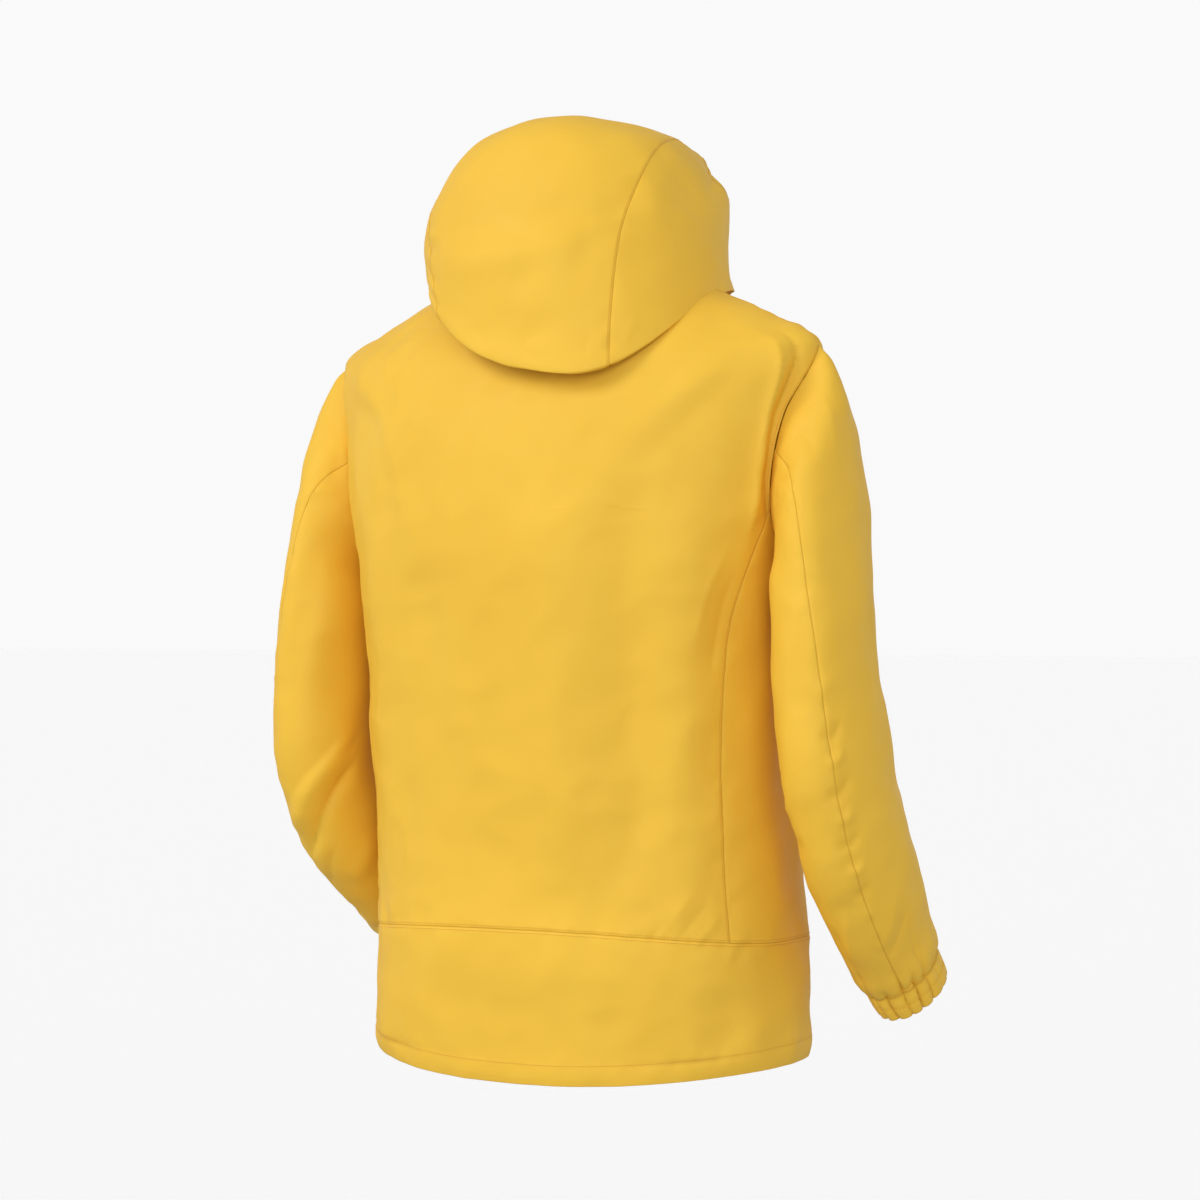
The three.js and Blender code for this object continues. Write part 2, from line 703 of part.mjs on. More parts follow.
function cuff(side) {
  const wrist = wristFrame(side);
  const steps = CUFF_PLEATS * CUFF_STEPS_PER_PLEAT;
  const grid = range(CUFF_ROWS + 1).map((row) => range(steps).map((k) => {
    const beta = 2 * Math.PI * k / steps;
    const narrow = mix(1, CUFF_TAPER, row / CUFF_ROWS);
    const wave = CUFF_PLEAT_DEPTH * Math.cos(CUFF_PLEATS * beta) - CUFF_PLEAT_DEPTH;
    const normal = wrist.up.clone().multiplyScalar(Math.cos(beta) / wrist.ring.halfWide)
      .addScaledVector(wrist.backwards, Math.sin(beta) / wrist.ring.halfDeep).normalize();
    const point = wrist.centre.clone()
      .addScaledVector(wrist.up, narrow * wrist.ring.halfWide * Math.cos(beta))
      .addScaledVector(wrist.backwards, narrow * wrist.ring.halfDeep * Math.sin(beta))
      .addScaledVector(normal, wave)
      .addScaledVector(wrist.along, CUFF_LENGTH * row / CUFF_ROWS);
    return { point, normal };
  }));
  return wallGeometry(grid, true);
}

// Zip

// Points up the middle of the front, from the bottom of the zip to its top at the chin
function zipLine() {
  const levels = levelsBetween(ZIP_BOTTOM_LEVEL, NECK_LEVEL, ZIP_BODY_ROWS);
  const places = levelsBetween(0, HOOD_ZIP_TOP_ALONG, ZIP_COLLAR_ROWS).slice(1);
  return [...levels.map((level) => bodyPoint(level, 180)), ...places.map((along) => hoodPoint(along, 180))];
}

function zipNormals(line) {
  return line.map((point, index) => {
    const before = line[Math.max(0, index - 1)];
    const after = line[Math.min(line.length - 1, index + 1)];
    const run = after.clone().sub(before).normalize();
    return new THREE.Vector3(0, -run.z, run.y);
  });
}

function zipTape(side) {
  const line = zipLine();
  const normals = zipNormals(line);
  const grid = line.map((point, index) => [0, TAPE_HALF].map((out) => ({
    point: new THREE.Vector3(side * out, point.y, point.z),
    normal: normals[index],
  })));
  return wallGeometry(grid);
}

// An outline drawn outwards and upwards, given a width across the jacket
function plate(shape, from, to) {
  const settings = { depth: to - from, bevelEnabled: false, curveSegments: 6 };
  const geometry = new THREE.ExtrudeGeometry(shape, settings);
  return geometry.translate(0, 0, from);
}

function rectangle(left, bottom, right, top) {
  const corners = [[left, bottom], [right, bottom], [right, top], [left, top]];
  return new THREE.Shape(corners.map(([x, y]) => new THREE.Vector2(x, y)));
}

const wasm = await Module();
wasm.setup();

function joined(pieces) {
  const solids = pieces.map((piece) => {
    const bare = piece.clone();
    bare.deleteAttribute('normal');
    bare.deleteAttribute('uv');
    const merged = mergeVertices(bare);
    const vertProperties = new Float32Array(merged.getAttribute('position').array);
    const triVerts = new Uint32Array(merged.index.array);
    return new wasm.Manifold(new wasm.Mesh({ numProp: 3, vertProperties, triVerts }));
  });
  const mesh = solids.reduce((sum, solid) => sum.add(solid)).getMesh();
  const geometry = new THREE.BufferGeometry();
  geometry.setAttribute('position', new THREE.Float32BufferAttribute(mesh.vertProperties, 3));
  geometry.setIndex(Array.from(mesh.triVerts));
  geometry.computeVertexNormals();
  return geometry;
}

// The slider is drawn in the middle of the top stretch of the zip, with its bridge standing outwards.
function sliderGeometry() {
  const base = plate(
    rectangle(SLIDER.inner, -SLIDER.halfLength, SLIDER.outer, SLIDER.halfLength),
    -SLIDER.halfWidth,
    SLIDER.halfWidth,
  );
  const loop = rectangle(SLIDER.outer - BRIDGE.sunk, -BRIDGE.halfLength, BRIDGE.outer, BRIDGE.halfLength);
  const eye = new THREE.Path();
  eye.absarc(PIN_OUT, 0, BRIDGE.eyeRadius, 0, 2 * Math.PI, true);
  loop.holes.push(eye);
  return joined([base, plate(loop, -BRIDGE.halfWidth, BRIDGE.halfWidth)]);
}

// The pull tab hangs plumb from its pin, with an arm each side of the bridge. It is drawn about the pin.
function pullGeometry() {
  const pin = new THREE.CylinderGeometry(PIN_RADIUS, PIN_RADIUS, 2 * PULL.halfWidth, 16);
  pin.rotateX(rightAngle);
  const arm = rectangle(-PULL.halfThickness, -PULL.slotLength - PULL.overlap, PULL.halfThickness, PULL.top);
  const blade = rectangle(-PULL.halfThickness, -PULL.length, PULL.halfThickness, -PULL.slotLength);
  return joined([
    pin,
    plate(arm, PULL.armInner, PULL.halfWidth),
    plate(arm, -PULL.halfWidth, -PULL.armInner),
    plate(blade, -PULL.halfWidth, PULL.halfWidth),
  ]);
}

// Frame of the slider: outwards, up along the zip, and across
function sliderFrame() {
  const line = zipLine();
  const [low, high] = line.slice(-2);
  const along = high.clone().sub(low).normalize().setX(0).normalize();
  const outwards = new THREE.Vector3(0, -along.z, along.y);
  const centre = low.clone().add(high).multiplyScalar(0.5).setX(0);
  return { along, outwards, centre };
}

function finish(color, roughness) {
  return new THREE.MeshStandardMaterial({ color, roughness, metalness: 0 });
}

const clothMaterial = finish(SHELL_COLOUR, SHELL_ROUGHNESS);
const tapeMaterial = finish(TAPE_COLOUR, SHELL_ROUGHNESS);
const hardMaterial = finish(HARD_COLOUR, HARD_ROUGHNESS);

const jacket = new THREE.Group();

function add(name, geometry, material) {
  const mesh = new THREE.Mesh(geometry, material);
  mesh.name = name;
  jacket.add(mesh);
  return mesh;
}

add('back_centre', backCentre(), clothMaterial);
add('back_lower', backLower(), clothMaterial);
add('hood_centre', hoodCentre(), clothMaterial);
for (const [name, side] of [['left', 1], ['right', -1]]) {
  add(`back_side_${name}`, backSide(side), clothMaterial);
  add(`front_${name}`, frontPanel(side), clothMaterial);
  add(`hood_side_${name}`, hoodSide(side), clothMaterial);
  add(`sleeve_under_${name}`, sleevePanel(side, false), clothMaterial);
  add(`sleeve_upper_${name}`, sleevePanel(side, true), clothMaterial);
  add(`cuff_${name}`, cuff(side), clothMaterial);
  add(`zip_tape_${name}`, zipTape(side), tapeMaterial);
}

const frame = sliderFrame();
const slider = add('zip_slider', sliderGeometry(), hardMaterial);
const across = frame.outwards.clone().cross(frame.along);
slider.setRotationFromMatrix(new THREE.Matrix4().makeBasis(frame.outwards, frame.along, across));
slider.position.copy(frame.centre);

const pull = add('zip_pull', pullGeometry(), hardMaterial);
pull.setRotationFromMatrix(new THREE.Matrix4().makeBasis(
  new THREE.Vector3(0, -1, 0),
  new THREE.Vector3(0, 0, 1),
  new THREE.Vector3(-1, 0, 0),
));
pull.position.copy(frame.centre).addScaledVector(frame.outwards, PIN_OUT);

export default jacket;
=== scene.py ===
# %% [markdown]
# # A hooded windbreaker, filled out as if worn
# The jacket is cut from one plain woven nylon and sewn from fifteen panels around a front zip.
# The CAD model gives the form of each panel as a thick wall. Here each wall is replaced by a thin
# sheet of cloth on the same form, with soft folds, gathers, stitching and a woven finish.
# Everything is in millimetres until a mesh is made, and a mesh is in metres.

import bpy
import numpy as np
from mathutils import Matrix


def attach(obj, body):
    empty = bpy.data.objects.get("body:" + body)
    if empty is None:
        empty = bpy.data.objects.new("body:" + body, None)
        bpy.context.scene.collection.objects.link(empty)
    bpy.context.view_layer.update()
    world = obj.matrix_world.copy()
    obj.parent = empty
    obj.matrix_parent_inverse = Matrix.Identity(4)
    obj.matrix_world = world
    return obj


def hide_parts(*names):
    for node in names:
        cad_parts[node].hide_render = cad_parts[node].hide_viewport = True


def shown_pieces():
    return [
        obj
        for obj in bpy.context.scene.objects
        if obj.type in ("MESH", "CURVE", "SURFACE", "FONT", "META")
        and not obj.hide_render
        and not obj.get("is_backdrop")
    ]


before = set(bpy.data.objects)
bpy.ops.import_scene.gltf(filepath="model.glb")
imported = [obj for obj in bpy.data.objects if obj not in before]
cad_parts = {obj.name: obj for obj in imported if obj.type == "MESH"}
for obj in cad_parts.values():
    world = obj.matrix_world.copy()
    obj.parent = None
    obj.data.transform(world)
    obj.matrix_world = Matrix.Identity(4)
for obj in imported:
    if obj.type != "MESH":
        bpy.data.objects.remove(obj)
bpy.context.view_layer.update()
MM = 0.001

# %% [markdown]
# ## Camera
# The photograph was taken from behind, a little to the wearer's right and level with the chest.
# A long lens about three metres away gives the same nearly parallel lines. The camera looks
# slightly past the jacket, so that the jacket stands left of the middle, as it does in the picture.

# %% Camera
AZIMUTH = np.radians(209)
DISTANCE_M = 3.0
AIM_M = np.array([0, 0, -0.3])
ASIDE_M = 0.0198
toward_camera = np.array([np.sin(AZIMUTH), -np.cos(AZIMUTH), 0])
camera_right = np.array([np.cos(AZIMUTH), np.sin(AZIMUTH), 0])


def add_object(name, data):
    obj = bpy.data.objects.new(name, data)
    bpy.context.collection.objects.link(obj)
    return obj


lens = bpy.data.cameras.new("camera")
lens.lens = 100
lens.sensor_width = 36
camera = add_object("camera", lens)
camera.location = AIM_M + toward_camera * DISTANCE_M + camera_right * ASIDE_M
camera.rotation_euler = (np.pi / 2, 0, AZIMUTH)
bpy.context.scene.camera = camera
print("camera at", [round(float(x), 3) for x in camera.location])

# %% [markdown]
# ## Light, floor and background
# A garment with such a quiet surface shows its form through light alone. A broad light from the left
# grazes the back and brings its folds out. A still broader one from just above the camera reaches
# between the body and the sleeves, and a pale sky, brightest behind the jacket, fills the shadows. A sun
# lamp with a wide angle gives a soft light that is equally strong on the whole floor, which an area lamp
# does not. The floor throws no light back, because it would fill the shadows under the hood and arms.


# %% Nodes and finishes
def feed(node, inputs):
    """Sets a node's inputs. One that is given as another node's output is linked to it."""
    for name, value in inputs.items():
        if isinstance(name, int):
            place = node.inputs[name]
        else:
            place = next(each for each in node.inputs if each.name == name and each.enabled)
        if isinstance(value, bpy.types.NodeSocket):
            node.id_data.links.new(value, place)
        elif value is not None:
            place.default_value = value
    return node


def new_finish(name):
    material = bpy.data.materials.new(name)
    material.use_nodes = True
    return material, material.node_tree, material.node_tree.nodes["Principled BSDF"]


print("inputs of nodes can be set by name or by number")

# %% Light and floor
FLOOR_LEVEL_M = -1.45
FLOOR_HALF_M = 60.0
FLOOR_GLOW = 0.18
LAMPS = {
    "key": (toward_camera * 0.42 - camera_right * 0.8 + np.array([0, 0, 0.62]), 1.2, 30),
    "fill": (toward_camera + np.array([0, 0, 0.06]), 1.3, 50),
}
SKY = ((0.0, 0.44), (0.47, 0.44), (0.49, 0.95), (0.59, 0.95), (0.72, 0.48), (1.0, 0.48))

for name, (direction, energy, angle) in LAMPS.items():
    sun = bpy.data.lights.new(name, "SUN")
    sun.energy = energy
    sun.angle = np.radians(angle)
    x, y, z = direction / np.linalg.norm(direction)
    add_object(name, sun).rotation_euler = (np.arctan2(np.hypot(x, y), z), 0, np.arctan2(x, -y))

world = bpy.data.worlds.new("studio")
world.use_nodes = True
bpy.context.scene.world = world
tree = world.node_tree
place = tree.nodes.new("ShaderNodeTexCoord")
split = feed(tree.nodes.new("ShaderNodeSeparateXYZ"), {0: place.outputs["Generated"]})
raised = feed(tree.nodes.new("ShaderNodeMath"), {0: split.outputs["Z"], 1: 0.5, 2: 0.5})
raised.operation = "MULTIPLY_ADD"
ramp = feed(tree.nodes.new("ShaderNodeValToRGB"), {0: raised.outputs[0]})
while len(ramp.color_ramp.elements) < len(SKY):
    ramp.color_ramp.elements.new(0.5)
for element, (height, brightness) in zip(ramp.color_ramp.elements, SKY):
    element.position = height
    element.color = (brightness, brightness, brightness, 1)
feed(tree.nodes["Background"], {"Color": ramp.outputs["Color"]})

floor_mesh = bpy.data.meshes.new("floor")
half, level = FLOOR_HALF_M, FLOOR_LEVEL_M
corners = [(-half, -half, level), (half, -half, level), (half, half, level), (-half, half, level)]
floor_mesh.from_pydata(corners, [], [(0, 1, 2, 3)])
floor = add_object("floor", floor_mesh)
floor_finish, floor_tree, floor_shader = new_finish("pale_floor")
feed(floor_shader, {
    "Base Color": (0.95, 0.95, 0.95, 1),
    "Roughness": 0.9,
    "Emission Color": (1, 1, 1, 1),
    "Emission Strength": FLOOR_GLOW,
})
floor_mesh.materials.append(floor_finish)
floor.visible_diffuse = False
floor.visible_glossy = False
floor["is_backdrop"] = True
bpy.context.scene.view_settings.view_transform = "Standard"
print("floor", FLOOR_LEVEL_M, "m below the neck")

# %% [markdown]
# ## The measured form
# A few rings around the body, the hood and each arm carry the whole shape. Each row is one ring, and
# the columns say how wide it is, where its side, back and front lie, how far its back and front rise
# above its sides and how square it is. The CAD walls stand on the same rings, so the cloth fits them.
# Only some rings of the hood were set again here, so its cloth lies up to 11 mm from the walls.

# %% Tables of rings
RING = ("half_width", "side", "back", "front", "back_rise", "front_rise", "width_power", "depth_power")

BODY_COLUMNS = ("level",) + RING
BODY_RINGS = [
    (-706, 207, -26, 115, -172, -16, -4, 0.88, 0.88),
    (-650, 204, -24, 116, -171, 0, -6, 0.88, 0.88),
    (-598, 202, -21, 118, -169, 12, -8, 0.88, 0.88),
    (-520, 200, -17, 121, -165, 8, -5, 0.88, 0.88),
    (-420, 202, -11, 129, -160, 4, -2, 0.88, 0.88),
    (-320, 205, -4, 138, -156, 2, 0, 0.88, 0.88),
    (-258, 211, 0, 142, -152, 0, -2, 0.87, 0.88),
    (-200, 219, 2, 139, -147, 0, -8, 0.87, 0.94),
    (-140, 229, 4, 130, -140, -5, -20, 0.9, 1.1),
    (-80, 242, 5, 114, -126, -16, -44, 0.97, 1.35),
    (-54, 202, 3, 103, -116, -17, -56, 1, 1.4),
    (-27, 143, 1, 85, -100, -10, -68, 1, 1.25),
    (0, 82, 0, 62, -80, 6, -80, 1, 1),
]

HOOD_COLUMNS = ("along",) + RING + (
    "side_height", "rise_power", "shift", "tilt", "dip_turn", "seam_out", "open_turn",
)
HOOD_RINGS = [
    (0, 82, 0, 62, -80, 6, -80, 1, 1, 0, 2, 0, 0, 0, 50, 180),
    (1, 85, 0, 67, -84, 6, -82, 1, 1, 14, 2, 0, 0, 0, 54, 180),
    (2, 112, 0, 98, -90, -16, -62, 0.92, 0.95, 12, 2, -6, 0.03, -5, 68, 180),
    (3, 126, -2, 124, -97, -58, -24, 0.84, 0.86, 0, 2, -17, 0.04, -11, 80, 180),
    (4, 136, -3, 138, -103, -84, 4, 0.8, 0.82, -20, 2, -15, 0.045, -14, 84, 180),
    (5, 136, -4, 137, -109, -62, 8, 0.83, 0.86, 2, 2, -6, 0.05, -12, 90, 172),
    (6, 134, -6, 125, -124, -18, 12, 0.86, 0.88, 26, 1.6, 4, 0.02, -5, 97, 152),
    (7, 130, -14, 110, -138, 12, 14, 0.88, 0.9, 50, 1.2, 8, 0, 0, 103, 128),
    (8, 118, -40, 82, -150, 38, 10, 0.92, 0.95, 72, 0.9, 7, 0, 0, 100, 106),
    (9, 97, -78, 30, -150, 45, 0, 0.95, 0.95, 86, 0.8, 4, 0, 0, 86, 97),
    (10, 83, -100, -36, -150, 38, 0, 0.95, 0.95, 92, 0.8, 0, 0, 0, 72, 90),
    (11, 75, -110, -96, -150, 20, 0, 0.95, 0.95, 95, 0.8, 0, 0, 0, 62, 90),
]

ARM_COLUMNS = ("along", "x", "y", "z", "pitch", "swing", "half_wide", "half_deep")
ARM_RINGS = {
    "right": [
        (0, 228, 0, -169, 6, 0, 89, 50),
        (1, 240, 4, -192, 17, 0, 74, 58),
        (2, 246, 10, -236, 38, 0, 52, 63),
        (3, 250, 18, -296, 70, 0, 42, 65),
        (4, 257, 22, -368, 82, 2, 42, 66),
        (5, 265, 18, -440, 83, 12, 43, 65),
        (6, 271, -2, -505, 82, 26, 43, 62),
        (7, 276, -38, -566, 81, 33, 41, 57),
        (8, 281, -80, -624, 80, 35, 34, 43),
    ],
    "left": [
        (0, 228, 0, -169, 6, 0, 89, 50),
        (1, 239, 4, -192, 17, 0, 74, 58),
        (2, 245, 10, -236, 38, 0, 52, 64),
        (3, 248, 18, -296, 70, 0, 42, 66),
        (4, 253, 22, -368, 84, 2, 41, 66),
        (5, 256, 20, -440, 90, 16, 41, 65),
        (6, 251, -6, -500, 94, 36, 40, 60),
        (7, 244, -52, -550, 95, 45, 37, 52),
        (8, 240, -100, -598, 95, 47, 34, 40),
    ],
}
ARM_END = 8
HEM, BAND, SHOULDER_TIP, ARMPIT, NECK = -706, -598, -80, -258, 0
print(len(BODY_RINGS), "rings of the body,", len(HOOD_RINGS), "of the hood,", ARM_END + 1, "of each arm")

# %% [markdown]
# ## From rings to surfaces
# A smooth curve runs through each column of a table, so that a ring exists at every height. A point
# is then named by two numbers, a height and a turn around the jacket, and a whole grid of them is
# computed at once. Modelling by hand would give the same surface, but not one that two panels share
# exactly at their seam.


# %% Smooth rows between the rings
def rows_at(table, columns, places):
    """Every column of a table at any places between its rows."""
    rows = np.array(table, float)
    where = rows[:, 0]
    places = np.asarray(places, float)
    k = np.clip(np.searchsorted(where, places, side="right") - 1, 0, len(where) - 2)
    before = np.maximum(k - 1, 0)
    after = np.minimum(k + 2, len(where) - 1)
    span = (where[k + 1] - where[k])[..., None]
    t = (places - where[k])[..., None] / span
    slope_in = (rows[k + 1] - rows[before]) * span / (where[k + 1] - where[before])[..., None]
    slope_out = (rows[after] - rows[k]) * span / (where[after] - where[k])[..., None]
    value = (
        rows[k] * (2 * t**3 - 3 * t**2 + 1) + slope_in * (t**3 - 2 * t**2 + t)
        + rows[k + 1] * (3 * t**2 - 2 * t**3) + slope_out * (t**3 - t**2)
    )
    return {name: value[..., index] for index, name in enumerate(columns)}


def mix(a, b, share):
    return a + (b - a) * share


def smooth(share):
    t = np.clip(share, 0, 1)
    return t * t * (3 - 2 * t)


middle_ring = rows_at(BODY_RINGS, BODY_COLUMNS, -400)
print("half width 400 mm below the neck:", round(float(middle_ring["half_width"]), 1))


# %% The body and the hood as surfaces
def ring_points(ring, height, rise_power, turn, dip_turn=0.0):
    sine = np.sin(np.radians(turn))
    cosine = np.cos(np.radians(turn))
    dip = np.cos(np.radians(turn - dip_turn))
    end = np.where(cosine > 0, ring["back"], ring["front"])
    rise = np.where(dip > 0, ring["back_rise"], ring["front_rise"])
    x = ring["half_width"] * np.sign(sine) * np.abs(sine) ** ring["width_power"]
    y = ring["side"] + (end - ring["side"]) * np.abs(cosine) ** ring["depth_power"]
    z = height + rise * np.abs(dip) ** rise_power
    return np.stack(np.broadcast_arrays(x, y, z), -1)


def body(level, turn):
    level, turn = np.broadcast_arrays(np.asarray(level, float), np.asarray(turn, float))
    return ring_points(rows_at(BODY_RINGS, BODY_COLUMNS, level), level, 2, turn)


def hood(along, turn):
    along, turn = np.broadcast_arrays(np.asarray(along, float), np.asarray(turn, float))
    ring = rows_at(HOOD_RINGS, HOOD_COLUMNS, along)
    points = ring_points(ring, ring["side_height"], ring["rise_power"], turn, ring["dip_turn"])
    points[..., 2] += ring["tilt"] * points[..., 0]
    points[..., 0] += ring["shift"] * (1 + np.cos(np.radians(turn))) / 2
    return points


def turn_at_distance(ring, distance):
    """The turn at which a ring lies a distance out from its middle."""
    return np.degrees(np.arcsin((distance / ring["half_width"]) ** (1 / ring["width_power"])))


print("back of the neck at", np.round(body(0, 0), 1), "and fold of the hood at", np.round(hood(4, 0), 1))

# %% Armholes and arms
SIDES = ((1, "left"), (-1, "right"))
ARMHOLE_STEPS = 20
BACK_NOTCH, FRONT_NOTCH = 7, 13
BLEND_RINGS = 2
BACK_ARM_SEAM, FRONT_ARM_SEAM = 5, 13


def armhole_place(step):
    beta = 2 * np.pi * np.asarray(step, float) / ARMHOLE_STEPS
    reach = np.where(np.sin(beta) > 0, 16, 24)
    level = mix(ARMPIT, SHOULDER_TIP, (1 + np.cos(beta)) / 2)
    return level, 90 - reach * np.sin(beta)


def arm_directions(ring, side):
    pitch, swing = np.radians(ring["pitch"]), np.radians(ring["swing"])
    zero = np.zeros_like(pitch)
    along = (side * np.cos(pitch), -np.sin(pitch) * np.sin(swing), -np.sin(pitch) * np.cos(swing))
    up = (side * np.sin(pitch), np.cos(pitch) * np.sin(swing), np.cos(pitch) * np.cos(swing))
    backwards = (zero, np.cos(swing), -np.sin(swing))
    return [np.stack(direction, -1) for direction in (along, up, backwards)]


def arm_ring(table, place, side, step):
    ring = rows_at(table, ARM_COLUMNS, place)
    beta = 2 * np.pi * step / ARMHOLE_STEPS
    along, up, backwards = arm_directions(ring, side)
    centre = np.stack([side * ring["x"], ring["y"], ring["z"]], -1)
    wide = (ring["half_wide"] * np.cos(beta))[..., None]
    deep = (ring["half_deep"] * np.sin(beta))[..., None]
    return centre + up * wide + backwards * deep


def arm(side):
    table = ARM_RINGS["left" if side > 0 else "right"]

    def surface(share, step):
        share, step = np.broadcast_arrays(np.asarray(share, float), np.asarray(step, float))
        edge = body(*armhole_place(step)) * np.array([side, 1, 1])
        hold = (1 - smooth(share * ARM_END / BLEND_RINGS))[..., None]
        start = arm_ring(table, np.zeros_like(share), side, step)
        return arm_ring(table, share * ARM_END, side, step) + (edge - start) * hold

    return surface


print("right wrist at", np.round(arm(-1)(1, [0, 5, 10, 15]).mean(0), 1))

# %% [markdown]
# ## Folds
# Worn cloth is never a clean surface. Its main folds are laid one by one, each as a soft trough or ridge
# along a short line on the surface. A cloth simulation would make folds of its own, and not the ones
# of this jacket. A ridge pushes a little cloth up, and the profile gives back some of it on both
# sides, as a buckled sheet does. A narrow fold has a sharp crest, and a broad one is round. Very soft
# waves and crinkles in all directions keep the rest from looking pressed.


# %% Waves and listed folds
CRISP = 12
FOLD_REACH = 3.5


def waves(points, wavelength, seed, count=18):
    """Soft bumps between about -1 and 1, alike in all directions."""
    random = np.random.default_rng(seed)
    directions = random.normal(size=(count, 3))
    directions /= np.linalg.norm(directions, axis=1)[:, None]
    numbers = 2 * np.pi / (wavelength * random.uniform(0.7, 1.5, count))
    phases = random.uniform(0, 2 * np.pi, count)
    total = np.zeros(points.shape[:-1])
    for direction, number, phase in zip(directions, numbers, phases):
        total += np.sin(points @ direction * number + phase)
    return total / np.sqrt(count / 2) / 1.6


def smooth_line(corners, count=110):
    """A curve through a few corners, by cubic pieces between them."""
    corners = np.array(corners, float)
    table = np.column_stack([np.arange(len(corners)), corners])
    names = ("place",) + tuple(range(corners.shape[1]))
    line = rows_at(table, names, np.linspace(0, len(corners) - 1, count))
    return np.stack([line[name] for name in names[1:]], -1)


def squares_to(points, line):
    """Squared distances of points from each corner of a line."""
    return np.maximum((points**2).sum(-1)[..., None] - 2 * points @ line.T + (line**2).sum(-1), 0)


def fold_depth(points, surface, folds):
    """How far each point moves out, in millimetres, for a table of folds on one surface."""
    flat_points = points.reshape(-1, 3)
    total = np.zeros(len(flat_points))
    for height, width, corners in folds:
        line = smooth_line(corners)
        spine = surface(line[:, 0], line[:, 1])
        low, high = spine.min(0) - FOLD_REACH * width, spine.max(0) + FOLD_REACH * width
        near = ((flat_points > low) & (flat_points < high)).all(1)
        if not near.any():
            continue
        squares = squares_to(flat_points[near], spine)
        r2 = squares.min(1) / width**2
        r = np.sqrt(r2)
        share = squares.argmin(1) / (len(spine) - 1)
        fade = smooth(share / 0.3) * smooth((1 - share) / 0.3)
        if width < CRISP:
            total[near] += height * fade * (1 - 0.35 * r) * np.exp(-1.2 * r)
        else:
            total[near] += height * fade * (1 - 0.45 * r2) * np.exp(-r2 / 1.3)
    return total.reshape(points.shape[:-1])


print("waves reach", np.round(np.abs(waves(body(np.linspace(-700, 0, 400), 20), 80, 1)).max(), 2))

# %% [markdown]
# ## Where the folds lie
# Each row is a height in millimetres, a width, and the line of the fold as heights and turns on its
# surface. The back has one long soft break right of its middle, where it turns from the light. Small
# slanting wrinkles gather above the band and by the shoulders, because the cloth is held there.

